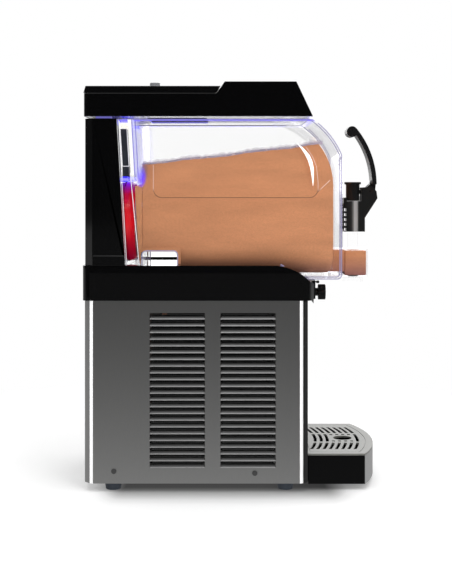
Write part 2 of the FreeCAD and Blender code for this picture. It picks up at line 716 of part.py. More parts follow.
def make_rear_panel():
    body = new_body("rear_panel")
    side = "(%s - corner_depth - sheet_thick - panel_gap)" % HALF
    add(body, "XZ", "cabinet_rear_y - sheet_thick", "cabinet_rear_y",
        rectangle("-" + side, "foot_height + panel_gap", side, DECK_BOTTOM + " - panel_gap"))
    slot = cut(body, "XZ", "cabinet_rear_y - 2 * sheet_thick", "cabinet_rear_y + 1",
               rectangle("-vent_length / 2", "vent_first_z - vent_slot",
                         "vent_length / 2", "vent_first_z"))
    row(body, slot, "vent_count", "vent_pitch")
    cut(body, "XZ", "cabinet_rear_y - 2 * sheet_thick", "cabinet_rear_y + 1",
        rectangle("inlet_x - inlet_width / 2", "inlet_z - inlet_height / 2",
                  "inlet_x + inlet_width / 2", "inlet_z + inlet_height / 2"),
        rectangle("switch_x - switch_width / 2", "inlet_z - switch_height / 2",
                  "switch_x + switch_width / 2", "inlet_z + switch_height / 2"))
    keep("rear_panel", body)


def make_front_panel():
    """The moulded black front, with bevelled upright edges and a pocket for the display."""
    body = new_body("front_panel")
    side = "(%s - panel_gap)" % HALF
    low, high = "foot_height", DECK_BOTTOM + " - panel_gap"
    rear = PANEL_FRONT + " - panel_gap"
    add(body, "XY", low, high,
        outline([("-" + side, rear), ("-" + side, rear + " - 1"),
                 ("-%s + front_cut" % side, "cabinet_front_y"),
                 (side + " - front_cut", "cabinet_front_y"),
                 (side, rear + " - 1"), (side, rear)]))
    cut(body, "XZ", "cabinet_front_y - 1", "cabinet_front_y + display_thick",
        rectangle("-display_width / 2 - panel_gap", "display_z - display_height / 2 - panel_gap",
                  "display_width / 2 + panel_gap", "display_z + display_height / 2 + panel_gap"))
    keep("front_panel", body)
    glass = new_body("control_display")
    add(glass, "XZ", "cabinet_front_y", "cabinet_front_y + display_thick",
        rectangle("-display_width / 2", "display_z - display_height / 2",
                  "display_width / 2", "display_z + display_height / 2"))
    dress(glass, "Chamfer", "display_height / 12",
          ("Y", [("display_width / 2 * %d" % a, "display_z + display_height / 2 * %d" % b)
                 for a in (-1, 1) for b in (-1, 1)]))
    keep("control_display", glass)


def make_deck():
    body = new_body("deck")
    add(body, "YZ", "-" + HALF, HALF,
        outline([("deck_rear_y", DECK_BOTTOM), ("deck_rear_y", DECK_TOP),
                 ("deck_bend_y", DECK_TOP),
                 ("deck_front_y", DECK_BOTTOM + " + deck_nose_height", "v"),
                 ("deck_front_y", DECK_BOTTOM)],
                {2: ("deck_bend_y", DECK_BEND_Z, 1)}))
    dress(body, "Fillet", "deck_corner_r",
          ("Z", [("%s * %d" % (HALF, a), b) for a in (-1, 1)
                 for b in ("deck_rear_y", "deck_front_y")]))
    for sign in ("-", ""):
        cut(body, "XZ", "deck_front_y - 1", "deck_rear_y + 1",
            outline([(sign + "(%s - deck_edge_in)" % HALF, DECK_TOP),
                     (sign + "(%s + deck_edge_in)" % HALF, DECK_TOP),
                     (sign + HALF, DECK_TOP + " - deck_edge_drop")]))
    slide = "(body_width / 2 - bowl_inset + bowl_seat_gap)"
    cut(body, "YZ", "-" + slide, slide,
        outline([("column_front_low_y + 0.5", SLIDE_Z), ("column_front_low_y + 0.5", DECK_TOP + " + 1"),
                 ("deck_front_y - 1", DECK_TOP + " + 1"),
                 ("deck_front_y - 1", "bowl_belly_z - bowl_seat_gap - 1"),
                 ("bowl_belly_rear_y + 1", "bowl_belly_z - bowl_seat_gap - 1"),
                 ("bowl_slope_y + 1", SLIDE_Z)]))
    belly = "(body_width / 2 - bowl_inset - bowl_wall - tub_side_gap / 2)"
    cut(body, "YZ", "-" + belly, belly,
        outline([("channel_front_y", CHANNEL_Z), ("channel_front_y", DECK_TOP + " + 1"),
                 ("deck_front_y - 1", DECK_TOP + " + 1"),
                 ("deck_front_y - 1", "bowl_belly_z - bowl_seat_gap - 1"),
                 ("bowl_belly_rear_y + 1", "bowl_belly_z - bowl_seat_gap - 1"),
                 ("bowl_belly_rear_y + 12", CHANNEL_Z)]))
    inside = "(%s - deck_edge_in - deck_wall)" % HALF
    roof = "(%s - deck_wall)" % CHANNEL_Z
    cut(body, "YZ", "-" + inside, inside,
        outline([("deck_rear_y - deck_wall - deck_edge_in", DECK_BOTTOM),
                 ("deck_rear_y - deck_wall - deck_edge_in", roof),
                 ("bowl_slope_y", roof),
                 ("deck_front_y + 3 * deck_wall", "bowl_belly_z - 4 * deck_wall"),
                 ("deck_front_y + 3 * deck_wall", DECK_BOTTOM)]))
    cut(body, "XY", roof + " - 1", DECK_TOP + " + 1",
        rectangle("-duct_width / 2", "duct_front_y", "duct_width / 2", "duct_rear_y"))
    keep("deck", body)


def make_fascia():
    """A satin strip on the deck's nose, with a lip over the front panel's top edge."""
    body = new_body("deck_fascia")
    half = "(%s - deck_corner_r - 2)" % HALF
    reach = "(%s + fascia_thick)" % DECK_BEND_R
    top = "(bowl_belly_z - bowl_seat_gap - 3)"
    back = "(deck_bend_y - sqrt(%s^2 - (%s - %s)^2))"
    add(body, "YZ", "-" + half, half,
        outline([("deck_front_y", DECK_BOTTOM + " + deck_nose_height", "v"),
                 ("deck_front_y", DECK_BOTTOM + " - fascia_lip / 2"),
                 ("deck_front_y - fascia_thick", DECK_BOTTOM + " - fascia_lip"),
                 (back % (reach, DECK_BOTTOM + " + deck_nose_height", DECK_BEND_Z),
                  DECK_BOTTOM + " + deck_nose_height", "u"),
                 (back % (reach, top, DECK_BEND_Z), top),
                 (back % (DECK_BEND_R, top, DECK_BEND_Z), top)],
                {3: ("deck_bend_y", DECK_BEND_Z, -1), 5: ("deck_bend_y", DECK_BEND_Z, 1)}))
    keep("deck_fascia", body)


def make_column():
    body = new_body("rear_column")
    add(body, "YZ", "-" + COLUMN_HALF, COLUMN_HALF,
        outline([("cabinet_rear_y", DECK_TOP), ("cabinet_rear_y", COLUMN_TOP),
                 ("column_front_high_y", COLUMN_TOP), ("column_front_low_y", DECK_TOP)]))
    dress(body, "Chamfer", "column_chamfer",
          ("Z", [("%s * %d" % (COLUMN_HALF, a), "cabinet_rear_y") for a in (-1, 1)]))
    wide = "(%s + column_foot_out)" % COLUMN_HALF
    add(body, "YZ", "-" + wide, wide,
        outline([("cabinet_rear_y - column_chamfer", DECK_TOP),
                 ("cabinet_rear_y - column_chamfer - 1", DECK_TOP + " + column_foot"),
                 ("column_front_low_y + 1", DECK_TOP + " + column_foot"),
                 ("column_front_low_y + 1", DECK_TOP)]))
    cut(body, "YZ", "-" + OPENING_HALF, OPENING_HALF,
        outline([("cabinet_rear_y + 1", DECK_TOP + " + column_wall"),
                 ("cabinet_rear_y + 1", COLUMN_TOP + " - column_wall"),
                 ("column_front_high_y + column_wall", COLUMN_TOP + " - column_wall"),
                 ("column_front_low_y + column_wall", DECK_TOP + " + column_wall")]))
    cut(body, "XZ", "column_front_low_y - 5", "column_front_high_y + 5",
        circle("0", "gasket_axis_z", "gasket_r + collar_gap"))
    cut(body, "XY", DECK_TOP + " - 1", DECK_TOP + " + column_wall + 1",
        rectangle("-duct_width / 2", "duct_front_y + 4", "duct_width / 2", "duct_rear_y"))
    keep("rear_column", body)
    back = new_body("column_rear_cover")
    side = "(%s - panel_gap)" % OPENING_HALF
    add(back, "XZ", "cabinet_rear_y - column_cover_thick", "cabinet_rear_y",
        rectangle("-" + side, DECK_TOP + " + column_wall + panel_gap",
                  side, COLUMN_TOP + " - column_wall - panel_gap"))
    slot = cut(back, "XZ", "cabinet_rear_y - 10", "cabinet_rear_y + 1",
               rectangle("-vent_length / 2", COLUMN_TOP + " - 30 - vent_slot",
                         "vent_length / 2", COLUMN_TOP + " - 30"))
    row(back, slot, "column_vents", "vent_pitch")
    keep("column_rear_cover", back)


# Bowl

SHELL_HALF = "(body_width / 2 - bowl_inset)"
BOWL_BASE = "(%s - channel_rear_drop + bowl_seat_gap)" % DECK_TOP
SHOULDER_Z = "(%s - bowl_shoulder_drop)" % COLUMN_TOP
SHOULDER_R = ("(((bowl_shoulder_y - bowl_front_y)^2 + bowl_shoulder_drop^2)"
              " / (2 * (bowl_shoulder_y - bowl_front_y)))")
SHOULDER_Y = "(bowl_front_y + %s)" % SHOULDER_R
BULGE_R = "((%s^2 + bowl_front_bulge^2) / (2 * bowl_front_bulge))" % SHELL_HALF
TUB_SIDE = "(bowl_wall + tub_side_gap)"
TUB_FRONT = "(bowl_wall + tub_front_gap)"
TUB_FLOOR = "(%s + tub_floor_gap)" % CHANNEL_Z
FLANGE_LOW_Y = "(column_front_low_y - bowl_rear_gap)"
FLANGE_HIGH_Y = "(column_front_high_y - bowl_rear_gap)"
ABOVE = "(%s + 1)" % COLUMN_TOP


def rim_y(inset):
    """Where the curved front, moved in by an inset, meets the level of the rim."""
    return "(%s - sqrt((%s - %s)^2 - (bowl_shoulder_drop + 1)^2))" % (SHOULDER_Y, SHOULDER_R, inset)


def front_form(name, side_in, front_in, tail, bulging=True):
    """A block with the bowl's curved front, moved in by the given insets.

    tail holds the rest of its side outline, from below the front round to the rear top corner.
    The front also bulges in plan, unless it is the plain front of the tub.
    """
    body = new_body(name)
    half = "(%s - %s)" % (SHELL_HALF, side_in)
    front = "(bowl_front_y + %s)" % front_in
    add(body, "YZ", "-" + half, half,
        outline([(rim_y(front_in), ABOVE, "u"), (front, SHOULDER_Z)] + tail,
                {0: (SHOULDER_Y, SHOULDER_Z, 1)}))
    if not bulging:
        return body
    bulge_y = "(%s + %s)" % (front, BULGE_R)
    side_y = "(%s - sqrt(%s^2 - %s^2))" % (bulge_y, BULGE_R, half)
    cut(body, "XY", "bowl_belly_z - 5", ABOVE + " + 1",
        outline([(half, side_y), ("-" + half, side_y, "v"),
                 ("-%s - 1" % half, side_y), ("-%s - 1" % half, front + " - 5"),
                 (half + " + 1", front + " - 5"), (half + " + 1", side_y)],
                {0: ("0", bulge_y, -1)}))
    return body


def make_bowl_shell():
    """The clear outer shell: curved front, belly, open bottom behind it and a rear flange."""
    front = "bowl_front_y"
    outer = front_form("shell_outside", "0", "0",
                       [(front, "bowl_belly_z"), ("bowl_belly_rear_y", "bowl_belly_z"),
                        ("bowl_slope_y", BOWL_BASE), (FLANGE_LOW_Y, BOWL_BASE),
                        (FLANGE_HIGH_Y, ABOVE)])
    inner = front_form("shell_inside", "bowl_wall", "bowl_wall",
                       [(front + " + bowl_wall", "bowl_belly_z + bowl_wall"),
                        ("bowl_belly_rear_y", "bowl_belly_z + bowl_wall"),
                        ("bowl_slope_y + bowl_wall", BOWL_BASE + " + bowl_wall"),
                        ("bowl_slope_y + bowl_wall", BOWL_BASE + " - 2"),
                        (FLANGE_LOW_Y + " + 5", BOWL_BASE + " - 2"),
                        (FLANGE_HIGH_Y + " + 5", ABOVE)])
    hollow = without("ShellHollow", outer, inner)
    trim = block("ShellTrim", ("-" + SHELL_HALF + " - 1", "bowl_front_y - 5", COLUMN_TOP),
                 (SHELL_HALF + " + 1", "column_front_high_y", COLUMN_TOP + " + 3"))
    tools = new_body("shell_cuts")
    edge = "(%s - bowl_panel_depth)" % SHELL_HALF
    for low, high in (("-%s - 1" % SHELL_HALF, "-" + edge), (edge, SHELL_HALF + " + 1")):
        panel = add(tools, "YZ", low, high,
                    rectangle("bowl_panel_front_y", "bowl_panel_z",
                              "bowl_panel_rear_y", COLUMN_TOP + " + 2"))
    dress(tools, "Fillet", "bowl_panel_round",
          ("X", [("bowl_panel_front_y", "bowl_panel_z"), ("bowl_panel_rear_y", "bowl_panel_z")]))
    tools_b = new_body("finger_cuts")
    for low, high in (("-%s - 1" % SHELL_HALF, "-%s + bowl_wall + 1" % SHELL_HALF),
                      ("%s - bowl_wall - 1" % SHELL_HALF, SHELL_HALF + " + 1")):
        add(tools_b, "YZ", low, high,
            rectangle("tunnel_front_y", BOWL_BASE + " - 1", "tunnel_rear_y", "tunnel_roof_z"))
        lean = "(column_front_high_y - column_front_low_y) / column_height"
        rear = "(%s + (%s - %s) * %s - bowl_flange_out)"
        low_y = rear % (FLANGE_LOW_Y, "grip_low_z", DECK_TOP, lean)
        high_y = rear % (FLANGE_LOW_Y, "grip_high_z", DECK_TOP, lean)
        add(tools_b, "YZ", low, high,
            outline([(low_y + " - grip_width", "grip_low_z"), (low_y, "grip_low_z"),
                     (high_y, "grip_high_z"), (high_y + " - grip_width", "grip_high_z")]))
    dress(tools_b, "Fillet", "tunnel_round",
          ("X", [("tunnel_front_y", "tunnel_roof_z"), ("tunnel_rear_y", "tunnel_roof_z")]))
    port = block("OutletPort",
                 ("-outlet_half - tub_wall", "bowl_front_y - 2", "outlet_low_z - tub_wall"),
                 ("outlet_half + tub_wall", "bowl_front_y + bowl_wall + 1.5",
                  "outlet_high_z + tub_wall"))
    belly_half = "(%s - %s - tub_round / 3)" % (SHELL_HALF, TUB_SIDE)
    gap = block("BellyGap", ("-" + belly_half, "bowl_belly_rear_y + 11", TUB_FLOOR + " - 1.5"),
                (belly_half, "bowl_slope_y + 7", BOWL_BASE + " + 6"))
    tools_all = joined("ShellTools", trim, tools, tools_b, port, gap)
    keep("bowl_shell", without("BowlShell", hollow, tools_all))
    return inner


def make_bowl_tub(shell_inside):
    """The inner tub: U-shaped, with the finger tunnel under its rear and a collar for the gasket."""
    deep = "(%s + tub_wall)"
    outer_tail = [("(bowl_front_y + %s)" % TUB_FRONT, TUB_FLOOR), ("tub_rear_y", TUB_FLOOR),
                  ("tub_rear_y", ABOVE)]
    inner_tail = [("(bowl_front_y + %s + tub_wall)" % TUB_FRONT, TUB_FLOOR + " + tub_wall"),
                  ("tub_rear_y - tub_wall", TUB_FLOOR + " + tub_wall"),
                  ("tub_rear_y - tub_wall", ABOVE)]
    outer = front_form("tub_outside", TUB_SIDE, TUB_FRONT, outer_tail, False)
    inner = front_form("tub_inside", deep % TUB_SIDE, deep % TUB_FRONT, inner_tail, False)
    half = "(%s - %s)" % (SHELL_HALF, TUB_SIDE)
    dress(outer, "Fillet", "tub_round",
          ("Y", [("%s * %d" % (half, a), TUB_FLOOR) for a in (-1, 1)]))
    inner_half = "(%s - tub_wall)" % half
    dress(inner, "Fillet", "tub_round - tub_wall",
          ("Y", [("%s * %d" % (inner_half, a), TUB_FLOOR + " + tub_wall") for a in (-1, 1)]))
    rear_low = "tunnel_front_y - tub_wall"
    step_in = block("TunnelFloor", ("-" + SHELL_HALF, rear_low, TUB_FLOOR + " - 1"),
                    (SHELL_HALF, "tub_rear_y", "tunnel_roof_z + tub_wall"))
    inner_stepped = without("TubHollow", inner, step_in)
    tunnel = block("Tunnel", ("-" + SHELL_HALF, "tunnel_front_y", TUB_FLOOR + " - 1"),
                   (SHELL_HALF, "tub_rear_y + 1", "tunnel_roof_z"))
    form = without("TubForm", outer, tunnel)
    rim_slab = block("RimSlab", ("-" + SHELL_HALF, "bowl_front_y", COLUMN_TOP + " - rim_thick"),
                     (SHELL_HALF, "tub_rear_y", ABOVE))
    rim_block = common("Rim", shell_inside, rim_slab)
    collar_length = "collar_rear_y - tub_rear_y + tub_wall"
    collar_start = "tub_rear_y - tub_wall"
    ring = cylinder("Collar", "gasket_r + collar_gap + tub_wall", collar_length, "0",
                    collar_start, "gasket_axis_z", "Y")
    socket = cylinder("Socket", "gasket_r + collar_gap", collar_length, "0",
                      "tub_rear_y", "gasket_axis_z", "Y")
    mouth = cylinder("Mouth", "gasket_r - 2", "tub_wall + 4", "0",
                     "tub_rear_y - tub_wall - 2", "gasket_axis_z", "Y")
    sill = block("Sill", ("-" + SHELL_HALF, "tub_rear_y - tub_wall - 3", TUB_FLOOR + " - 5"),
                 (SHELL_HALF, "tub_rear_y + 3", "tunnel_roof_z + tub_wall"))
    opening = without("RearMouth", mouth, sill)
    trim = block("TubTrim", ("-" + SHELL_HALF + " - 1", "bowl_front_y - 5", COLUMN_TOP),
                 (SHELL_HALF + " + 1", "column_front_high_y", COLUMN_TOP + " + 3"))
    sleeve = block("OutletSleeve",
                   ("-outlet_half - tub_wall", "bowl_front_y + 0.7", "outlet_low_z - tub_wall"),
                   ("outlet_half + tub_wall", "bowl_front_y + tub_wall + 2.4 + " + TUB_FRONT,
                    "outlet_high_z + tub_wall"))
    passage = block("OutletPassage", ("-outlet_half", "bowl_front_y - 2", "outlet_low_z"),
                    ("outlet_half", "bowl_front_y + tub_wall + 0.2 + " + TUB_FRONT,
                     "outlet_high_z"))
    solid = joined("TubSolid", form, rim_block, ring, sleeve)
    holes = joined("TubHoles", inner_stepped, socket, opening, trim, passage)
    keep("bowl_tub", without("BowlTub", solid, holes))


def make_spigot():
    """The clear outlet block on the bowl's front, with its chamber, guide hole and spout ring."""
    body = new_body("spigot")
    half = "(spigot_width / 2)"
    back = "(bowl_front_y + 0.02)"
    add(body, "XY", "spigot_bottom_z", "spigot_top_z",
        rectangle("-" + half, "spigot_front_y", half, back))
    dress(body, "Fillet", "spigot_round",
          ("Z", [("%s * %d" % (half, a), "spigot_front_y") for a in (-1, 1)]))
    cut(body, "XY", "spigot_bottom_z + spigot_wall", "spigot_top_z - spigot_wall",
        rectangle("-%s + spigot_wall" % half, "spigot_front_y + spigot_wall",
                  half + " - spigot_wall", back))
    add(body, "XY", "spigot_bottom_z - spout_drop", "spigot_bottom_z",
        circle("0", "tap_axis_y", "spout_r"))
    cut(body, "XY", "spigot_bottom_z - spout_drop", "spigot_bottom_z",
        circle("0", "tap_axis_y", "spout_r - spout_wall"))
    cut(body, "XY", "spigot_bottom_z - 1", "spigot_bottom_z + spigot_wall + 1",
        circle("0", "tap_axis_y", "piston_r + piston_gap"))
    cut(body, "XY", "spigot_top_z - spigot_wall - 1", "spigot_top_z + 1",
        circle("0", "tap_axis_y", "piston_r + piston_gap"))
    behind = front_form("bowl_front_gauge", "0", "0",
                        [("bowl_front_y", "spigot_bottom_z - 5"), ("0", "spigot_bottom_z - 5"),
                         ("0", ABOVE)])
    keep("spigot", without("Spigot", body, behind))


# Top cover, filling lid and lights

LID_Z = "(%s - cover_lid_drop)" % COVER_TOP
LID_MID_Y = "((cover_rear_y + cover_riser_low_y) / 2)"


def make_top_cover():
    """The fixed hood over column and bowl, open above under the lid and hollow below."""
    body = new_body("top_cover")
    add(body, "YZ", "-" + HALF, HALF,
        outline([("cover_rear_y", COVER_BOTTOM), ("cover_rear_y", LID_Z),
                 ("cover_riser_low_y", LID_Z), ("cover_riser_high_y", COVER_RAISED),
                 ("cover_front_high_y", COVER_RAISED), ("cover_front_low_y", COVER_BOTTOM)]))
    dress(body, "Fillet", "cover_corner_r",
          ("Z", [("%s * %d" % (HALF, a), "cover_rear_y") for a in (-1, 1)]))
    inside = "(%s - cover_wall)" % HALF
    cut(body, "YZ", "-" + inside, inside,
        outline([("cover_rear_y - cover_wall", COVER_BOTTOM),
                 ("cover_rear_y - cover_wall", LID_Z + " - cover_wall"),
                 ("cover_riser_low_y - cover_wall", LID_Z + " - cover_wall"),
                 ("cover_riser_high_y - cover_wall", COVER_RAISED + " - cover_wall"),
                 ("cover_front_high_y + cover_wall / 2", COVER_RAISED + " - cover_wall"),
                 ("cover_front_low_y + 1.2 * cover_wall", COVER_BOTTOM)]))
    cut(body, "XY", LID_Z + " - cover_wall - 1", LID_Z + " + 1",
        rectangle("-fill_half", "fill_front_y", "fill_half", "fill_rear_y"))
    keep("top_cover", body)
    plate = new_body("cover_liner")
    side = "(%s - panel_gap)" % inside
    add(plate, "XY", COVER_BOTTOM, COVER_BOTTOM + " + liner_thick",
        rectangle("-" + side, "cover_front_low_y + 2 * cover_wall",
                  side, "cover_rear_y - cover_wall - panel_gap"))
    cut(plate, "XY", COVER_BOTTOM + " - 1", COVER_BOTTOM + " + liner_thick + 1",
        rectangle("-fill_half", "fill_front_y", "fill_half", "fill_rear_y"))
    for place in ("-84", "54"):
        add(plate, "XY", COLUMN_TOP + " + 0.02", COVER_BOTTOM,
            rectangle(place, "column_front_high_y + 14", place + " + 30",
                      "cover_rear_y - cover_wall - 12"))
    keep("cover_liner", plate)


def make_lid():
    """The filling lid: a tapered plate with a rim that drops into the opening, and its knob."""
    body = new_body("filling_lid")
    low = LID_Z + " + lid_gap"
    slope = "((cover_riser_low_y - cover_riser_high_y) / (%s - %s))" % (COVER_RAISED, LID_Z)
    front_high = "cover_riser_low_y + lid_gap - cover_lid_drop * %s" % slope
    add(body, "YZ", "-" + HALF, HALF,
        outline([("cover_rear_y", low), ("cover_rear_y - cover_lid_in", COVER_TOP),
                 (front_high + " + 1", COVER_TOP), ("cover_riser_low_y + lid_gap + 1", low)]))
    for sign in ("-", ""):
        cut(body, "XZ", "cover_riser_high_y - 5", "cover_rear_y + 1",
            outline([(sign + "(%s - cover_lid_in)" % HALF, COVER_TOP),
                     (sign + "(%s + cover_lid_in)" % HALF, COVER_TOP),
                     (sign + HALF, low)]))
    edge = "(fill_half - lid_gap)"
    add(body, "XY", LID_Z + " - lid_plug", low,
        rectangle("-" + edge, "fill_front_y + lid_gap", edge, "fill_rear_y - lid_gap"))
    cut(body, "XY", LID_Z + " - lid_plug", COVER_TOP + " - cover_wall",
        rectangle("-%s + cover_wall" % edge, "fill_front_y + lid_gap + cover_wall",
                  edge + " - cover_wall", "fill_rear_y - lid_gap - cover_wall"))
    cut(body, "XY", LID_Z, COVER_TOP + " + 1", circle("0", LID_MID_Y, "lid_knob_stem_r + shaft_gap"))
    keep("filling_lid", body)
    knob = new_body("lid_knob")
    add(knob, "XY", COVER_TOP + " + shaft_gap", COVER_TOP + " + lid_knob_rise",
        circle("0", LID_MID_Y, "lid_knob_r"))
    add(knob, "XY", COVER_TOP + " - cover_wall - 2", COVER_TOP + " + shaft_gap",
        circle("0", LID_MID_Y, "lid_knob_stem_r"))
    keep("lid_knob", knob)


def make_lights():
    """Two light strips on the column's leaning face behind the bowl, and the housing between."""
    lean = "((column_front_high_y - column_front_low_y) / column_height)"
    face = "(column_front_low_y + (%s - " + DECK_TOP + ") * " + lean + ")"
    for node, top, half in (("light_strip_upper", "light_top_z", "light_top_half"),
                            ("light_strip_lower", "light_low_z", "light_low_half")):
        low = "(%s - light_height)" % top
        body = new_body(node)
        add(body, "YZ", "-" + half, half,
            outline([(face % low, low), (face % top, top),
                     (face % top + " - light_thick", top), (face % low + " - light_thick", low)]))
        keep(node, body)
    body = new_body("light_housing")
    low, top = "(light_low_z + panel_gap)", "(light_top_z - light_height - panel_gap)"
    add(body, "YZ", "-light_top_half", "light_top_half",
        outline([(face % low, low), (face % top, top),
                 (face % top + " - housing_thick", top), (face % low + " - housing_thick", low)]))
    keep("light_housing", body)


# Cold drum, auger and drive

def make_chiller():
    """The drum on its bulkhead: the boss passes through the column and carries the gasket."""
    back = "(column_front_high_y + column_wall)"
    boss_r = "(gasket_r - gasket_thick)"
    plate = block("BulkheadPlate", ("-bulkhead_half", back, DECK_TOP + " + column_wall + 0.3"),
                  ("bulkhead_half", back + " + bulkhead_thick", "gasket_axis_z + bulkhead_half"))
    boss = cylinder("BulkheadBoss", boss_r, back + " - gasket_front_y", "0", "gasket_front_y",
                    "gasket_axis_z", "Y")
    bore = cylinder("SealBore", "shaft_r + seal_thick", back + " + bulkhead_thick + 4", "0",
                    "gasket_front_y - 2", "chill_axis_z", "Y")
    keep("bulkhead", without("Bulkhead", joined("BulkheadForm", plate, boss), bore))
    keep("bowl_gasket", without("Gasket",
         cylinder("GasketOuter", "gasket_r", "gasket_rear_y - gasket_front_y", "0",
                  "gasket_front_y", "gasket_axis_z", "Y"),
         cylinder("GasketBore", boss_r, "gasket_rear_y - gasket_front_y", "0",
                  "gasket_front_y", "gasket_axis_z", "Y")))
    length = "(gasket_front_y - chill_front_y)"
    drum = cylinder("Drum", "chill_r", length, "0", "chill_front_y", "chill_axis_z", "Y")
    inner = rod("DrumInside", 16, "chill_r - chill_wall", length + " - 2 * chill_wall", "0",
                "chill_front_y + 2 * chill_wall", "chill_axis_z", "Y")
    tube = rod("DrumTube", 8, "shaft_r + 4 * chill_wall", length, "0", "chill_front_y",
               "chill_axis_z", "Y")
    bush_bore = cylinder("DrumBore", "shaft_r + 2 * chill_wall", length + " + 10", "0",
                         "chill_front_y - 5", "chill_axis_z", "Y")
    keep("evaporator_drum", without("Evaporator",
         joined("DrumForm", without("DrumShell", drum, inner), tube), bush_bore))
    bush = cylinder("Bush", "shaft_r + 2 * chill_wall", "bush_length", "0", "chill_front_y",
                    "chill_axis_z", "Y")
    keep("front_bush", without("FrontBush", bush,
         cylinder("BushBore", "shaft_r + shaft_gap", "bush_length", "0", "chill_front_y",
                  "chill_axis_z", "Y")))
    seal = cylinder("Seal", "shaft_r + seal_thick", "seal_length", "0", "gasket_front_y + 8",
                    "chill_axis_z", "Y")
    keep("shaft_seal", without("ShaftSeal", seal,
         cylinder("SealInner", "shaft_r + shaft_gap", "seal_length", "0", "gasket_front_y + 8",
                  "chill_axis_z", "Y")))


def make_auger():
    """A one-piece spiral blade with an end ring at the rear and a driven disc at the front."""
    inner = "((chill_r + auger_gap) / cos(180 / auger_sides * 1 deg))"
    sides = int(value("auger_sides"))
    steps = int(value("auger_turns") * sides)
    low_r, high_r = value(inner), value("auger_r")
    thick, pitch = value("auger_thick"), value("auger_pitch")
    rear, middle_z = value("auger_rear_y"), value("chill_axis_z")

    def corner(step, radius, lift):
        turn = 2 * math.pi * step / sides
        return FreeCAD.Vector(radius * math.cos(turn), rear - pitch * step / sides - lift,
                              middle_z - radius * math.sin(turn))

    def face(*spots):
        return Part.Face(Part.makePolygon(list(spots) + [spots[0]]))

    faces = []
    for step in range(steps):
        for radius in (low_r, high_r):
            faces.append(face(corner(step, radius, 0), corner(step + 1, radius, 0),
                              corner(step + 1, radius, thick), corner(step, radius, thick)))
        for lift in (0, thick):
            near, far = corner(step, low_r, lift), corner(step + 1, high_r, lift)
            faces.append(face(near, corner(step, high_r, lift), far))
            faces.append(face(near, far, corner(step + 1, low_r, lift)))
    for step in (0, steps):
        faces.append(face(corner(step, low_r, 0), corner(step, high_r, 0),
                          corner(step, high_r, thick), corner(step, low_r, thick)))
    spiral = doc.addObject("Part::Feature", "Spiral")
    spiral.Shape = Part.Solid(Part.makeShell(faces))
    ring = without("RearRing",
                   rod("RearRingForm", sides, "auger_r", "auger_thick", "0",
                       "auger_rear_y - auger_thick", "chill_axis_z", "Y"),
                   rod("RearRingHole", sides, inner, "auger_thick + 2", "0",
                       "auger_rear_y - auger_thick - 1", "chill_axis_z", "Y"))
    end = "(chill_front_y - auger_gap - auger_thick)"
    disc = without("FrontDisc",
                   rod("FrontDiscForm", sides, "auger_r", "auger_thick", "0", end,
                       "chill_axis_z", "Y"),
                   cylinder("FrontDiscBore", "shaft_r + shaft_gap", "auger_thick + 2", "0",
                            end + " - 1", "chill_axis_z", "Y"))
    bar = block("FrontBar", (inner, end + " + 1", "chill_axis_z - 6"),
                ("auger_r - 1.4", "auger_rear_y - auger_turns * auger_pitch - 0.5",
                 "chill_axis_z + 6"))
    keep("auger", joined("Auger", spiral, ring, disc, bar))
    front_y = "(chill_front_y - auger_gap - auger_thick)"
    shaft = cylinder("Shaft", "shaft_r", "gearbox_front_y + 20 - (%s - shaft_tip)" % front_y, "0",
                     front_y + " - shaft_tip", "chill_axis_z", "Y")
    keep("drive_shaft", shaft)
    nut = rod("NutBody", 8, "nut_r", "shaft_tip + 2", "0", front_y + " - shaft_tip - 2",
              "chill_axis_z", "Y")
    nut_bore = cylinder("NutBore", "shaft_r", "shaft_tip", "0", front_y + " - shaft_tip",
                        "chill_axis_z", "Y")
    keep("auger_nut", without("AugerNut", nut, nut_bore))


def make_gearmotor():
    """Gearbox and upright motor in the column, carried by the bulkhead plate on four posts."""
    low = ("-gearbox_half", "gearbox_front_y", "chill_axis_z - gearbox_half")
    high = ("gearbox_half", "gearbox_front_y + gearbox_depth", "chill_axis_z + gearbox_half + 14")
    box = block("GearboxBlock", low, high)
    socket = cylinder("OutputBore", "shaft_r + shaft_gap", "22", "0", "gearbox_front_y - 1",
                      "chill_axis_z", "Y")
    keep("gearbox", without("Gearbox", box, socket))
    middle = "gearbox_front_y + gearbox_depth / 2"
    can = cylinder("MotorCan", "motor_r", "motor_length", "0", middle,
                   "chill_axis_z + gearbox_half + 14")
    tail = rod("MotorTail", 8, "motor_r / 2", "6", "0", middle,
               "chill_axis_z + gearbox_half + 14 + motor_length")
    keep("drive_motor", joined("DriveMotor", can, tail))
    posts = []
    back = "(column_front_high_y + column_wall + bulkhead_thick)"
    for a in ("-1", "1"):
        for b in ("-1", "1"):
            posts.append(rod("Post", 6, "post_r", "gearbox_front_y - %s" % back,
                             "%s * (gearbox_half - 6)" % a, back,
                             "chill_axis_z + %s * (gearbox_half - 6)" % b, "Y"))
    keep("gearbox_posts", together("Posts", *posts))


# Tap on the bowl's front

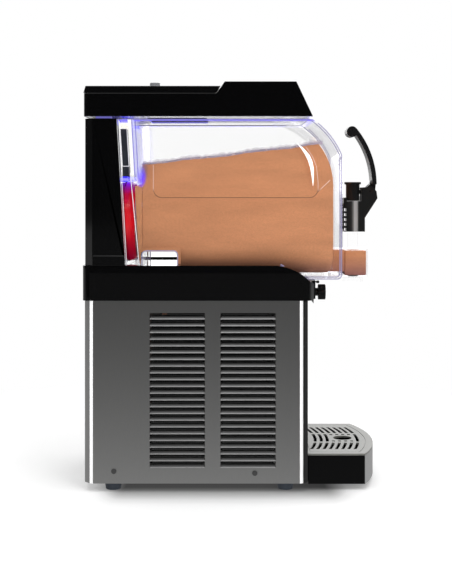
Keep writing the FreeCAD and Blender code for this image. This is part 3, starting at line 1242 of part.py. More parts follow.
def make_tap():
    """The fixed sleeve with its slotted back plate, gusset and ears, and the sliding parts."""
    body = new_body("tap_sleeve")
    half = "(gusset_width / 2)"
    plate_front = "(tap_plate_y - tap_plate_thick)"
    add(body, "XY", "tap_bottom_z", "tap_seam_z", circle("0", "tap_axis_y", "tap_r"))
    add(body, "YZ", "-" + half, half,
        outline([(plate_front, "tap_bottom_z"), (plate_front, "tap_seam_z"),
                 ("ear_front_y + 3", "tap_seam_z"), ("gusset_low_y", "gusset_low_z"),
                 ("gusset_low_y", "tap_bottom_z")]))
    plate_half = "(tap_plate_width / 2)"
    add(body, "XZ", plate_front, "tap_plate_y",
        rectangle("-" + plate_half, "tap_bottom_z", plate_half, "tap_plate_top_z"))
    add(body, "XZ", "tap_plate_y", "bowl_front_y - 0.02",
        rectangle("-%s + 3" % plate_half, "tap_bottom_z + 4",
                  plate_half + " - 3", "tap_seam_z - 4"))
    ear = [("ear_front_y + 3", "tap_seam_z"), ("ear_front_y", "tap_seam_z + 4.8"),
           ("ear_front_y + 1.6", "lever_pivot_z"), ("lever_pivot_y", "lever_pivot_z + 13"),
           ("lever_pivot_y + 6.5", "lever_pivot_z + 7"),
           ("tap_axis_y - tap_r - 1.5", "lever_pivot_z + 6.5"),
           ("tap_axis_y - tap_r - 1.5", "tap_seam_z")]
    inner = "(lever_hub_width / 2 + 0.3)"
    add(body, "YZ", "-" + half, "-" + inner, outline(ear))
    add(body, "YZ", inner, half, outline(ear))
    cut(body, "YZ", "-%s - 1" % half, half + " + 1",
        circle("lever_pivot_y", "lever_pivot_z", "lever_pin_r"))
    cut(body, "XY", "tap_bottom_z - 1", "tap_seam_z + 1",
        circle("0", "tap_axis_y", "piston_r + piston_gap"))
    cut(body, "XY", "tap_seam_z", "tap_plate_top_z + 1",
        circle("0", "tap_axis_y", "tap_r + 0.4"))
    slot = cut(body, "YZ", "-%s - 1" % plate_half, plate_half + " + 1",
               rectangle("tap_plate_y - 4.9", "tap_seam_z - 17.5",
                         "tap_plate_y - 1", "tap_seam_z - 12.5"))
    row(body, slot, "5", "tap_slot_pitch")
    keep("tap_sleeve", body)
    head = new_body("tap_head")
    add(head, "XY", "tap_seam_z + 0.4", "tap_top_z - 4", circle("0", "tap_axis_y", "tap_r"))
    add(head, "XY", "tap_top_z - 4", "tap_top_z", circle("0", "tap_axis_y", "tap_head_r"))
    deep = "lever_toe_y + lever_toe_r + 0.6"
    cut(head, "YZ", "-lever_toe_width / 2 - 0.6", "lever_toe_width / 2 + 0.6",
        outline([("tap_axis_y - tap_r - 1", "lever_toe_z - lever_toe_r - 4.4"),
                 ("lever_toe_y - 1", "lever_toe_z - lever_toe_r - 0.5"),
                 (deep, "lever_toe_z - lever_toe_r - 0.5"),
                 (deep, "lever_toe_z + lever_toe_r + 0.5"),
                 ("tap_axis_y - tap_r - 1", "lever_toe_z + lever_toe_r + 0.5")]))
    keep("tap_head", head)
    low = "spigot_bottom_z + 0.6"
    stem = cylinder("PistonStem", "piston_r", "tap_seam_z + 0.4 - spigot_bottom_z", "0",
                    "tap_axis_y", "spigot_bottom_z")
    room = without("SealGroove",
                   cylinder("GrooveOuter", "piston_r + 1", "1.8", "0", "tap_axis_y", low),
                   cylinder("GrooveCore", "piston_r - 1.6", "1.8", "0", "tap_axis_y", low))
    keep("tap_piston", without("GroovedPiston", stem, room))
    keep("piston_seal", without("PistonSeal",
         cylinder("SealRing", "piston_r + 0.02", "1.8", "0", "tap_axis_y", low),
         cylinder("SealCore", "piston_r - 1.6", "1.8", "0", "tap_axis_y", low)))


def make_lever():
    """The curved lever with its rolled end, its hub on the pin and the toe in the tap's head."""
    hub = new_body("lever_hub")
    half = "(lever_hub_width / 2)"
    add(hub, "YZ", "-" + half, half,
        outline([("lever_front_y", "lever_elbow_z"),
                 ("lever_front_y + 1.2", "lever_pivot_z - 2"),
                 ("lever_pivot_y + 4", "lever_pivot_z - 2"),
                 ("lever_front_y + lever_thick + 3", "lever_elbow_z"),
                 ("lever_front_y + lever_thick + 1", "lever_elbow_z + 7"),
                 ("lever_front_y + 0.4", "lever_elbow_z + 7")]))
    add(hub, "YZ", "-" + half, half, circle("lever_pivot_y", "lever_pivot_z", "lever_hub_r"))
    toe = "(lever_toe_width / 2)"
    add(hub, "YZ", "-" + toe, toe,
        outline([("lever_pivot_y", "lever_pivot_z - 4"),
                 ("lever_toe_y", "lever_toe_z - lever_toe_r"),
                 ("lever_toe_y", "lever_toe_z + lever_toe_r"),
                 ("lever_pivot_y", "lever_pivot_z + 4")]))
    add(hub, "YZ", "-" + toe, toe, circle("lever_toe_y", "lever_toe_z", "lever_toe_r"))
    grip_half = "(lever_width / 2)"
    bow_y = "(lever_front_y + lever_bow_r)"
    outer = cylinder("BowOuter", "lever_bow_r", "lever_width", "-" + grip_half, bow_y,
                     "lever_elbow_z", "X")
    inner = cylinder("BowInner", "lever_bow_r - lever_thick", "lever_width + 2",
                     "-%s - 1" % grip_half, bow_y, "lever_elbow_z", "X")
    sector = new_body("BowSector")
    far = "(lever_bow_r + 20)"
    add(sector, "YZ", "-%s - 1" % grip_half, grip_half + " + 1",
        outline([(bow_y, "lever_elbow_z"), (bow_y + " - " + far, "lever_elbow_z"),
                 ("%s - %s" % (bow_y, far), "lever_elbow_z + 30"),
                 ("%s - %s * cos(lever_bow_angle * 1 deg)" % (bow_y, far),
                  "lever_elbow_z + %s * sin(lever_bow_angle * 1 deg)" % far)]))
    bow = common("Bow", without("BowRing", outer, inner), sector)
    reach = "(lever_bow_r - lever_roll_r)"
    roll_y = "%s - %s * cos(lever_bow_angle * 1 deg)" % (bow_y, reach)
    roll_z = "lever_elbow_z + %s * sin(lever_bow_angle * 1 deg)" % reach
    roll = cylinder("Roll", "lever_roll_r", "lever_width", "-" + grip_half, roll_y, roll_z, "X")
    solid = joined("LeverSolid", hub, bow, roll)
    pin_bore = cylinder("PinBore", "lever_pin_r + shaft_gap", "lever_hub_width + 2",
                        "-%s - 1" % half, "lever_pivot_y", "lever_pivot_z", "X")
    keep("tap_lever", without("TapLever", solid, pin_bore))
    keep("lever_pin", cylinder("LeverPin", "lever_pin_r", "gusset_width", "-gusset_width / 2",
                               "lever_pivot_y", "lever_pivot_z", "X"))


# Clamp under the bowl

def make_clamp():
    """A small bracket on the deck's fascia with a ball-ended arm, and its fluted thumb knob."""
    body = new_body("clamp_bracket")
    half = "(bracket_width / 2)"
    back = "(deck_front_y - fascia_thick - 0.57)"
    front = "(knob_rear_y + 6)"
    add(body, "XY", "bracket_bottom_z", "bracket_top_z",
        rectangle("-" + half, front, half, back))
    cut(body, "XY", "bracket_bottom_z - 1", "bracket_top_z - bracket_thick",
        rectangle("-%s + bracket_thick" % half, front + " + bracket_thick",
                  half + " - bracket_thick", back + " + 1"))
    cut(body, "XZ", front + " - 1", front + " + bracket_thick + 1",
        circle("0", "knob_axis_z", "knob_screw_r + shaft_gap"))
    arm = rod("BallArm", 6, "ball_r * 0.55", "6.5", "0", front + " - 5.5",
              "bracket_top_z - bracket_thick", "Y")
    ball = rod("Ball", 8, "ball_r", "2 * ball_r", "0", front + " - 5.5 - ball_r",
               "bracket_top_z - bracket_thick", "Y")
    keep("clamp_bracket", joined("ClampBracket", body, arm, ball))
    start = "(knob_rear_y - knob_length)"
    grip = new_body("KnobGrip")
    count = int(value("knob_flutes")) * 2
    teeth = []
    for i in range(count):
        reach = "knob_r" if i % 2 else "(knob_r - 2)"
        turn = "%g * 1 deg" % (360 * (i + 0.5) / count)
        teeth.append(("%s * cos(%s)" % (reach, turn), "knob_axis_z + %s * sin(%s)" % (reach, turn)))
    add(grip, "XZ", start, "knob_rear_y", outline(teeth))
    neck = rod("KnobNeck", 8, "knob_screw_r + 3", "5.5", "0", "knob_rear_y", "knob_axis_z", "Y")
    screw = cylinder("KnobScrew", "knob_screw_r", "14", "0", "knob_rear_y", "knob_axis_z", "Y")
    keep("clamp_knob", joined("ClampKnob", grip, neck, screw))


# Drip tray

TRAY_R = "(((body_width / 2 - tray_inset)^2 + tray_bow^2) / (2 * tray_bow))"
TRAY_ARC_Y = "(tray_front_y + %s)" % TRAY_R


def tray_plan(inset, rear_inset="0"):
    """The tray's outline, square behind and bowed in front, moved inwards by an inset."""
    side = "(body_width / 2 - tray_inset - (%s))" % inset
    radius = "(%s - (%s))" % (TRAY_R, inset)
    rear = "(cabinet_front_y - 0.5 - (%s))" % rear_inset
    corner = "(%s - sqrt(%s^2 - %s^2))" % (TRAY_ARC_Y, radius, side)
    return outline([("-" + side, rear), ("-" + side, corner, "v"), (side, corner), (side, rear)],
                   {1: ("0", TRAY_ARC_Y, 1)})


def crescent():
    """The plan of the tray's fascia: thick in the middle, thin at both ends."""
    side = "(body_width / 2 - tray_inset)"
    outer = "(tray_front_y + tray_bow)"
    inner = "(tray_front_y + tray_bow + 0.5)"
    flat_bow = "(tray_bow + 0.5 - tray_fascia)"
    inner_r = "((%s^2 + %s^2) / (2 * %s))" % (side, flat_bow, flat_bow)
    return outline([("-" + side, inner), ("-" + side, outer, "v"), (side, outer), (side, inner, "v")],
                   {1: ("0", TRAY_ARC_Y, 1),
                    3: ("0", "(tray_front_y + tray_fascia + %s)" % inner_r, -1)})


def make_tray():
    body = new_body("drip_tray")
    high = "(tray_top_z - grille_thick)"
    add(body, "XY", "tray_bottom_z", high, tray_plan("0"))
    cut(body, "XY", "tray_bottom_z + tray_wall", high, tray_plan("tray_wall + 2", "tray_wall"))
    cut(body, "XY", "tray_bottom_z - 1", high + " + 1", crescent())
    keep("drip_tray", body)
    front = new_body("tray_fascia")
    add(front, "XY", "tray_bottom_z", high, crescent())
    keep("tray_fascia_plate", front)
    plate = new_body("drip_grille")
    add(plate, "XY", high, "tray_top_z", tray_plan("0"))
    cut(plate, "XY", "tray_top_z - grille_groove", "tray_top_z",
        tray_plan("grille_rim", "grille_rim / 3"),
        tray_plan("grille_rim + grille_groove", "grille_rim / 3 + grille_groove"))

    def slot(near, far, turn, count):
        """A curved slot across part of the width, repeated towards the front."""
        edges = []
        for k in (0, 1 / 3, 2 / 3, 1):
            x = "(%s + (%s) * %g)" % (near, far + " - " + near, k)
            edges.append((x, "(%s^2 / (2 * %s))" % (x, TRAY_R)))
        first = "(grille_first_y - grille_pitch * %d)" % turn
        bowed = [(x, "%s - grille_slot + %s" % (first, rise)) for x, rise in edges]
        bowed += [(x, "%s + %s" % (first, rise)) for x, rise in reversed(edges)]
        made = cut(plate, "XY", high + " - 1", "tray_top_z + 1", outline(bowed))
        if count > 1:
            row(plate, made, str(count), "grille_pitch", "Y_Axis", True)

    slot("-85", "-38", 0, 8)
    slot("38", "85", 0, 8)
    slot("-29", "29", 0, 3)
    slot("-29", "29", 7, 1)
    for left, right in (("-29", "-21"), ("21", "29")):
        stub = cut(plate, "XY", high + " - 1", "tray_top_z + 1",
                   rectangle(left, "grille_first_y - 3 * grille_pitch - grille_slot + 1", right,
                             "grille_first_y - 3 * grille_pitch + 1"))
        row(plate, stub, "4", "grille_pitch", "Y_Axis", True)
    cut(plate, "XY", high + " - 1", "tray_top_z + 1",
        circle("0", "finger_hole_y", "finger_hole_r"))
    keep("drip_grille", plate)


# Cooling set in the cabinet

PAN_TOP = "(foot_height + pan_thick)"


def make_compressor():
    """The compressor's welded shell on three rubber mounts, and the filter drier."""
    low = "(%s + grommet_height)" % PAN_TOP
    shell = new_body("CompressorShell")
    crown_cut = "(compressor_r / 2.5)"
    turned(shell, "Revolution", "XZ", "0",
           outline([("0", "0"), ("compressor_r", "0"),
                    ("compressor_r", "compressor_height - " + crown_cut),
                    ("compressor_r - " + crown_cut, "compressor_height"),
                    ("0", "compressor_height")]),
           "V_Axis")
    bind(shell, "Placement.Base.x", "compressor_x")
    bind(shell, "Placement.Base.y", "compressor_y")
    bind(shell, "Placement.Base.z", low + " + 4")
    feet = block("CompressorFeet",
                 ("compressor_x - compressor_r - 6", "compressor_y - compressor_r + 6", low),
                 ("compressor_x + compressor_r + 6", "compressor_y + compressor_r - 6",
                  low + " + 4"))
    keep("compressor", joined("Compressor", shell, feet))
    mounts = []
    for a, b in (("-1", "-1"), ("1", "-1"), ("-1", "1"), ("1", "1")):
        mounts.append(rod("Mount", 8, "9", "grommet_height",
                          "compressor_x + %s * (compressor_r - 6)" % a,
                          "compressor_y + %s * (compressor_r - 18)" % b, PAN_TOP))
    keep("compressor_mounts", together("Mounts", *mounts))
    keep("filter_drier", joined("FilterDrier",
         rod("DrierShell", 12, "9", "70", "-40", "126", PAN_TOP),
         rod("DrierNeck", 8, "pipe_r", "86", "-40", "126", PAN_TOP)))


def make_condenser():
    """A finned block against the left louvres, with a shroud, a fan and its motor behind it."""
    low_y = "(condenser_y - condenser_length / 2)"
    inner_x = "((condenser_inset - body_width / 2) + condenser_depth)"
    top = "(%s + condenser_height)" % PAN_TOP
    body = new_body("condenser")
    add(body, "XY", PAN_TOP, top,
        rectangle("(condenser_inset - body_width / 2)", low_y, inner_x, low_y + " + condenser_length"))
    pitch = "((condenser_length - 6 - fin_thick) / (fin_count - 1))"
    gap = cut(body, "XY", PAN_TOP + " + 5", top + " - 5",
              rectangle("(condenser_inset - body_width / 2) - 1", low_y + " + 3 + condenser_length - 6 - %s" % pitch
                        + " + 0", inner_x + " + 1", low_y + " + condenser_length - 3 - fin_thick"))
    row(body, gap, "fin_count - 1", pitch, "Y_Axis", True)
    keep("condenser", body)
    middle_z = "(%s + condenser_height / 2)" % PAN_TOP
    plate = block("ShroudPlate", (inner_x, low_y, PAN_TOP), (inner_x + " + 2", low_y
                  + " + condenser_length", top))
    ring = rod("ShroudRing", 16, "fan_r + fan_gap + 5", "20", inner_x, "condenser_y",
               middle_z, "X")
    hole = cylinder("ShroudHole", "fan_r + fan_gap", "30", inner_x + " - 2", "condenser_y",
                    middle_z, "X")
    keep("fan_shroud", without("FanShroud", joined("ShroudForm", plate, ring), hole))
    fan_x = "(%s + 5)" % inner_x
    parts = [cylinder("FanHub", "20", "13", fan_x, "condenser_y", middle_z, "X")]
    for i in range(5):
        blade = doc.addObject("Part::Box", "FanBlade")
        bind(blade, "Length", "2")
        bind(blade, "Width", "40")
        bind(blade, "Height", "fan_r - 18")
        spin = FreeCAD.Rotation(FreeCAD.Vector(1, 0, 0), 72 * i)
        tilt = FreeCAD.Rotation(FreeCAD.Vector(0, 0, 1), 14)
        centre = FreeCAD.Vector(value(fan_x) + 9, value("condenser_y"), value(middle_z))
        away = spin.multVec(FreeCAD.Vector(0, 0, 18))
        lean = spin.multiply(tilt)
        blade.Placement = FreeCAD.Placement(
            centre.add(away).sub(lean.multVec(FreeCAD.Vector(1, 20, 0))), lean)
        parts.append(blade)
    keep("fan", joined("Fan", *parts))
    motor = cylinder("FanMotorCan", "fan_motor_r", "fan_motor_length", fan_x + " + 20",
                     "condenser_y", middle_z, "X")
    axle = rod("FanMotorAxle", 8, "3", "8", fan_x + " + 13", "condenser_y", middle_z, "X")
    foot = block("FanMotorFoot", (fan_x + " + 30", "condenser_y - 18", PAN_TOP),
                 (fan_x + " + 34", "condenser_y + 18", middle_z))
    sole = block("FanMotorSole", (fan_x + " + 30", "condenser_y - 18", PAN_TOP),
                 (fan_x + " + 60", "condenser_y + 18", PAN_TOP + " + 3"))
    keep("fan_motor", joined("FanMotor", motor, axle, foot, sole))


def pipe_run(name, points):
    """A pipe as straight eight-sided lengths that pass through each other at the bends."""
    pieces = []
    last_run = len(points) - 2
    for number, (here, there) in enumerate(zip(points, points[1:])):
        for i, letter in enumerate("XYZ"):
            run = value("(%s) - (%s)" % (there[i], here[i]))
            if run != 0:
                first, last = (here, there) if run > 0 else (there, here)
                tails = [number > 0, number < last_run]
                if run < 0:
                    tails.reverse()
                start = list(first)
                start[i] = "(%s) - %s" % (first[i], "pipe_r * 0.9" if tails[0] else "0")
                length = "(%s) + %s - (%s)" % (last[i], "pipe_r * 0.9" if tails[1] else "0",
                                               start[i])
                pieces.append(rod(name + "Run", 8, "pipe_r", length,
                                  start[0], start[1], start[2], letter))
    return joined(name, *pieces)


def make_pipes():
    back = "(column_front_high_y + column_wall + bulkhead_thick)"
    crown = "(%s + grommet_height + 4 + compressor_height)" % PAN_TOP
    keep("suction_pipe", pipe_run("SuctionPipe", [
        ("compressor_x - 20", "compressor_y", crown),
        ("compressor_x - 20", "compressor_y", crown + " + 40"),
        ("38", "compressor_y", crown + " + 40"),
        ("38", "226", crown + " + 40"),
        ("38", "226", "chill_axis_z + 20"),
        ("38", back, "chill_axis_z + 20")]))
    keep("discharge_pipe", pipe_run("DischargePipe", [
        ("compressor_x + 20", "compressor_y", crown),
        ("compressor_x + 20", "compressor_y", PAN_TOP + " + condenser_height + 12"),
        ("compressor_x + 20", "condenser_y + 80", PAN_TOP + " + condenser_height + 12"),
        ("(condenser_inset - body_width / 2) + condenser_depth / 2", "condenser_y + 80",
         PAN_TOP + " + condenser_height + 12"),
        ("(condenser_inset - body_width / 2) + condenser_depth / 2", "condenser_y + 80",
         PAN_TOP + " + condenser_height")]))
    keep("liquid_pipe", pipe_run("LiquidPipe", [
        ("-40", "126", PAN_TOP + " + 86"),
        ("-40", "126", PAN_TOP + " + 110"),
        ("-40", "214", PAN_TOP + " + 110"),
        ("-40", "214", "chill_axis_z - 20"),
        ("-40", back, "chill_axis_z - 20")]))


# Electric parts and screws

def make_electrics():
    """Control board and fan switchgear inside, mains inlet and rocker switch in the rear panel."""
    inner = "(%s + 9)" % PANEL_FRONT
    board = block("Board", ("-56", inner, "display_z - 32"), ("56", inner + " + 1.6",
                                                              "display_z + 32"))
    chip = block("BoardParts", ("-20", inner + " + 1.6", "display_z - 18"),
                 ("24", inner + " + 9", "display_z + 10"))
    keep("control_board", joined("ControlBoard", board, chip))
    posts = []
    for a in ("-50", "50"):
        for b in ("-26", "26"):
            posts.append(rod("BoardPost", 6, "3", "9", a, PANEL_FRONT,
                             "display_z + (%s)" % b, "Y"))
    keep("board_posts", together("BoardPosts", *posts))
    face = "cabinet_rear_y"
    frame = block("InletFrame",
                  ("inlet_x - inlet_width / 2 - 3", face, "inlet_z - inlet_height / 2 - 3"),
                  ("inlet_x + inlet_width / 2 + 3", face + " + inlet_proud",
                   "inlet_z + inlet_height / 2 + 3"))
    shell = block("InletShell",
                  ("inlet_x - inlet_width / 2", face + " - inlet_depth",
                   "inlet_z - inlet_height / 2"),
                  ("inlet_x + inlet_width / 2", face, "inlet_z + inlet_height / 2"))
    recess = block("InletRecess",
                   ("inlet_x - inlet_width / 2 + 2", face + " - inlet_depth + 3",
                    "inlet_z - inlet_height / 2 + 2"),
                   ("inlet_x + inlet_width / 2 - 2", face + " + inlet_proud + 1",
                    "inlet_z + inlet_height / 2 - 2"))
    pins = []
    for a, b in (("-7", "-2"), ("7", "-2"), ("0", "4")):
        pins.append(block("InletPin",
                          ("inlet_x + (%s) - 1" % a, face + " - inlet_depth + 2",
                           "inlet_z + (%s) - 2" % b),
                          ("inlet_x + (%s) + 1" % a, face + " - 4", "inlet_z + (%s) + 2" % b)))
    keep("mains_inlet", joined("MainsInlet",
         without("InletHousing", joined("InletForm", frame, shell), recess), *pins))
    body = new_body("switch_frame")
    half_x, half_z = "(switch_width / 2)", "(switch_height / 2)"
    add(body, "XZ", face, face + " + 1.6",
        rectangle("switch_x - %s - 2" % half_x, "inlet_z - %s - 2" % half_z,
                  "switch_x + %s + 2" % half_x, "inlet_z + %s + 2" % half_z))
    add(body, "XZ", face + " - 18", face,
        rectangle("switch_x - " + half_x, "inlet_z - " + half_z,
                  "switch_x + " + half_x, "inlet_z + " + half_z))
    cut(body, "XZ", face + " - 14", face + " + 2",
        rectangle("switch_x - %s + 1.5" % half_x, "inlet_z - %s + 1.5" % half_z,
                  "switch_x + %s - 1.5" % half_x, "inlet_z + %s - 1.5" % half_z))
    keep("switch_frame", body)
    rocker = new_body("power_rocker")
    pivot_y = face + " - 5"
    add(rocker, "YZ", "switch_x - %s + 1.9" % half_x, "switch_x + %s - 1.9" % half_x,
        outline([(pivot_y + " - 3", "inlet_z - 3"), (pivot_y + " + 5", "inlet_z - 7.6"),
                 (pivot_y + " + 6.4", "inlet_z - 7.2"), (pivot_y + " + 5", "inlet_z"),
                 (pivot_y + " + 6.4", "inlet_z + 7.2"), (pivot_y + " + 5", "inlet_z + 7.6"),
                 (pivot_y + " - 3", "inlet_z + 3")]))
    cut(rocker, "YZ", "switch_x - " + half_x, "switch_x + " + half_x,
        circle(pivot_y, "inlet_z", "1.2"))
    keep("power_rocker", rocker)


def make_screws():
    """The heads of the four side panel screws, two on each side."""
    screws = []
    for side in (-1, 1):
        for y, z in (("197", "34"), ("-33", "31")):
            start = "-%s - 1.6" % HALF if side < 0 else HALF
            screws.append(rod("PanelScrew", 12, "4.3", "1.6", start, y, z, "X"))
    keep("panel_screws", together("PanelScrews", *screws))


def write_parts():
    """Check every object, then write one STEP file for each sub-part."""
    doc.recompute()
    for thing in doc.Objects:
        bad = [mark for mark in thing.State if mark in ("Invalid", "Error")]
        if bad:
            raise ValueError("%s (%s) is %s" % (thing.Name, thing.Label, bad[0]))
    for node, thing in nodes.items():
        if thing.Shape.isNull() or not thing.Shape.isValid():
            raise ValueError(node + " has no valid shape")
    os.makedirs("parts", exist_ok=True)
    for node, thing in nodes.items():
        thing.Shape.exportStep(os.path.join("parts", node + ".step"))
        print(node, len(thing.Shape.Solids), round(thing.Shape.Volume))

doc.recompute()
make_base_pan()
make_feet()
make_side_panels()
make_rear_panel()
make_front_panel()
make_deck()
make_fascia()
make_column()
make_top_cover()
make_lid()
make_lights()
inner_form = make_bowl_shell()
make_bowl_tub(inner_form)
make_spigot()
make_chiller()
make_auger()
make_gearmotor()
make_tap()
make_lever()
make_clamp()
make_tray()
make_compressor()
make_condenser()
make_pipes()
make_electrics()
make_screws()
write_parts()
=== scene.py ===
"""Looks of the countertop milkshake machine, laid over its CAD frame."""

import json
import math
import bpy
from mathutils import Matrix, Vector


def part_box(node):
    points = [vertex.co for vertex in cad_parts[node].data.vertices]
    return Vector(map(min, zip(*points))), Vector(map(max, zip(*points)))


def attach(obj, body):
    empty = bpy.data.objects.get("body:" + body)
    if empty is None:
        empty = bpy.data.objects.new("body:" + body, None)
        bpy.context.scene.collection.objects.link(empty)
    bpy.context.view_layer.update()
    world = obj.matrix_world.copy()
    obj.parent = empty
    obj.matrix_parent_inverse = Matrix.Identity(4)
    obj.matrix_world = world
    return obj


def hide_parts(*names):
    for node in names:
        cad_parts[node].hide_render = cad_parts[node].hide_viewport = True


bl_info = {
    "name": "Milkshake machine looks",
    "version": (1, 0, 0),
    "blender": (4, 2, 0),
    "location": "3D View > Sidebar > Milkshake",
    "description": "Dresses the milkshake machine's frame with finishes, drink, light and a studio",
    "category": "Object",
}

import bmesh
import bpy
from bpy.props import FloatProperty, FloatVectorProperty, IntProperty, PointerProperty
from mathutils import Vector

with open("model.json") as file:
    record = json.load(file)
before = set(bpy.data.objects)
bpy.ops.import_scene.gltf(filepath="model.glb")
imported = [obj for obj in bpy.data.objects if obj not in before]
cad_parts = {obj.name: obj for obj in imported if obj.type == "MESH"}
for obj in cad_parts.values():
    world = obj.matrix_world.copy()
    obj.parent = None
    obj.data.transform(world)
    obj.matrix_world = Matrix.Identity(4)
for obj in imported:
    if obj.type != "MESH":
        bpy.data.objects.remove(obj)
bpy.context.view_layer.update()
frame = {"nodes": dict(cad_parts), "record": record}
MM = 0.001
UP = (0, 0, 1)


# Node trees

class Wiring:
    """Adds nodes to a tree. Inputs come in order or by name, as values or as sockets to link;
    a name without capitals is a property of the node. A kind leaves out the tree's family."""

    def __init__(self, owner):
        self.owner = owner
        self.tree = getattr(owner, "node_tree", owner)
        self.family = "GeometryNode" if self.tree == owner else "ShaderNode"
        self.shader = self.tree.nodes.get("Principled BSDF")

    def fill(self, node, values):
        for key, value in values.items():
            socket = node.inputs[key.replace("_", " ") if isinstance(key, str) else key]
            if isinstance(value, bpy.types.NodeSocket):
                self.tree.links.new(value, socket)
            else:
                socket.default_value = value

    def add(self, kind, *inputs, **values):
        node = self.tree.nodes.new(kind if "Node" in kind else self.family + kind)
        for key in [key for key in values if key.islower()]:
            setattr(node, key, values.pop(key))
        self.fill(node, {**dict(enumerate(inputs)), **values})
        return node

    def paint(self, **values):
        """Fill sockets of the finish's own shader and give back the finish."""
        self.fill(self.shader, values)
        return self.owner

    def math(self, operation, *inputs):
        return self.add("Math", *inputs, operation=operation).outputs[0]

    def vector(self, operation, *inputs, **values):
        node = self.add("VectorMath", *inputs, operation=operation, **values)
        return node.outputs["Value" if operation in ("LENGTH", "DOT_PRODUCT") else "Vector"]

    def span(self, value, first, last, low_end=0.0, high_end=1.0):
        """A value between two limits, spread over another range and held at its ends."""
        return self.add("MapRange", value, first, last, low_end, high_end).outputs[0]

    def mix(self, fraction, here, there):
        node = self.add("Mix", fraction, data_type="RGBA")
        self.fill(node, {6: here, 7: there})
        return node.outputs[2]

    def ramp(self, fraction, stops):
        """A colour over a fraction, from stops of a place and a colour or a grey."""
        ramp = self.add("ValToRGB", fraction)
        elements = ramp.color_ramp.elements
        while len(elements) < len(stops):
            elements.new(0.5)
        for element, (place, color) in zip(elements, stops):
            element.position = place
            element.color = (*((color,) * 3 if isinstance(color, float) else color), 1)
        return ramp.outputs["Color"]

    def where(self):
        return self.add("TexCoord").outputs["Object"]

    def along(self, direction, first, last):
        """A fraction that runs between two distances along a direction on the object."""
        return self.span(self.vector("DOT_PRODUCT", self.where(), direction), first, last)


# Finishes

PLAIN = {  # colour or its setting, roughness, metallic and what else differs on the shader
    "gloss black": ("gloss", 0.08),
    "satin black": ("satin", 0.32, 0.0, {"Specular IOR Level": 0.35}),
    "soft black": ("satin", 0.5, 0.0, {"Specular IOR Level": 0.3}),
    "screw steel": ((0.16, 0.16, 0.16), 0.3, 1.0),
    "satin metal": ((0.42, 0.42, 0.43), 0.3, 1.0),
    "polished steel": ((0.62, 0.62, 0.63), 0.16, 1.0),
    "copper": ((0.8, 0.36, 0.2), 0.28, 1.0),
    "fin metal": ((0.05, 0.05, 0.052), 0.5, 0.6),
    "satin grey front": ((0.36, 0.36, 0.36), 0.32, 0.3),
    "motor black": ((0.015, 0.015, 0.017), 0.35),
    "display glass": ((0.004, 0.005, 0.007), 0.05),
    "dark clear plate": ((0.02, 0.022, 0.05), 0.12),
    "slate plastic": ((0.03, 0.035, 0.05), 0.4),
    "black rubber": ((0.02, 0.02, 0.022), 0.75),
    "grey-blue rubber": ((0.048, 0.06, 0.08), 0.6),
    "white food plastic": ((0.78, 0.78, 0.75), 0.4),
    "light grey grille": ((0.17, 0.17, 0.155), 0.4),
    "board green": ((0.01, 0.09, 0.03), 0.3),
    "tray black": ((0.001, 0.001, 0.0012), 0.25, 0.0, {"Specular IOR Level": 0.15}),
    "grey clear plastic": ((0.2, 0.21, 0.23), 0.2, 0.0, {"Alpha": 0.7}),
    "milk foam": ((0.55, 0.42, 0.45), 0.6, 0.0, {"Specular IOR Level": 0.2}),
}
# Every finish here is painted light: a glow that stands for light caught on bends, edges and
# corners.
SHINING = {  # colour, strength of the glow and, where it isn't the colour, the glow; roughness
    "bright steel": ((0.95, 0.95, 0.95), 0.22, (0.9, 0.9, 0.9), 0.3),
    "lit plastic edge": ((0.3, 0.28, 0.46), 0.2),
    "light caught in a corner": ((0.9, 0.9, 0.88), 0.75),
    "white plastic edge": ((0.85, 0.85, 0.9), 0.35),
    "lit liner edge": ((0.2, 0.18, 0.6), 0.75, (0.26, 0.24, 0.85)),
}
SPECIAL = {}


def special(make):
    """Note a function as the maker of the finish that it is named after."""
    SPECIAL[make.__name__.replace("_", " ")] = make
    return make


def finish(name):
    """The finish with a name, made when it is first asked for."""
    if name in bpy.data.materials:
        return bpy.data.materials[name]
    if name in SPECIAL:
        return SPECIAL[name](name)
    return lit(name, *SHINING[name]) if name in SHINING else shade(name, *PLAIN[name])


def tone_of(color):
    """A colour, or the one that a setting in the sidebar holds."""
    if isinstance(color, str):
        color = getattr(bpy.context.scene.milkshake_finish, color)
    return tuple(color)


def shade(name, color, roughness, metallic=0.0, more={}):
    """A Principled material with its plain values on the shader's own sockets."""
    material = bpy.data.materials.new(name)
    material.use_nodes = True
    return Wiring(material).paint(Base_Color=(*tone_of(color), 1), Roughness=roughness,
                                  Metallic=metallic, **more)


def lit(name, color, strength, glow=None, roughness=0.4):
    """A finish that shines by itself."""
    return shade(name, color, roughness, 0.0, {"Emission Color": (*(glow or color), 1),
                                               "Emission Strength": strength})


def add_grain(wiring, scale, depth, stretch=(1, 1, 1)):
    """Fine noise on Object coordinates that raises a little bump; gives back its socket."""
    place = wiring.add("Mapping", wiring.where(), Scale=stretch).outputs[0]
    noise = wiring.add("TexNoise", place, Scale=scale, Detail=4.0).outputs[0]
    bump = wiring.add("Bump", Strength=0.5, Distance=depth, Height=noise)
    wiring.paint(Normal=bump.outputs[0])
    return noise


@special
def brushed_steel(name):
    """Sheet steel brushed along its height, with a faint grain."""
    tone, swing = tone_of("steel"), 0.04
    wiring = Wiring(shade(name, tone, 0.36, 1.0))
    noise = add_grain(wiring, 60, 0.00002, (2, 60, 2))
    return wiring.paint(Base_Color=wiring.ramp(noise, [
        (0.3, [c * (1 - swing) for c in tone]), (0.7, [c * (1 + swing) for c in tone])]))


@special
def cast_metal(name):
    wiring = Wiring(shade(name, (0.36, 0.36, 0.37), 0.5, 1.0))
    add_grain(wiring, 400, 0.0001)
    return wiring.owner


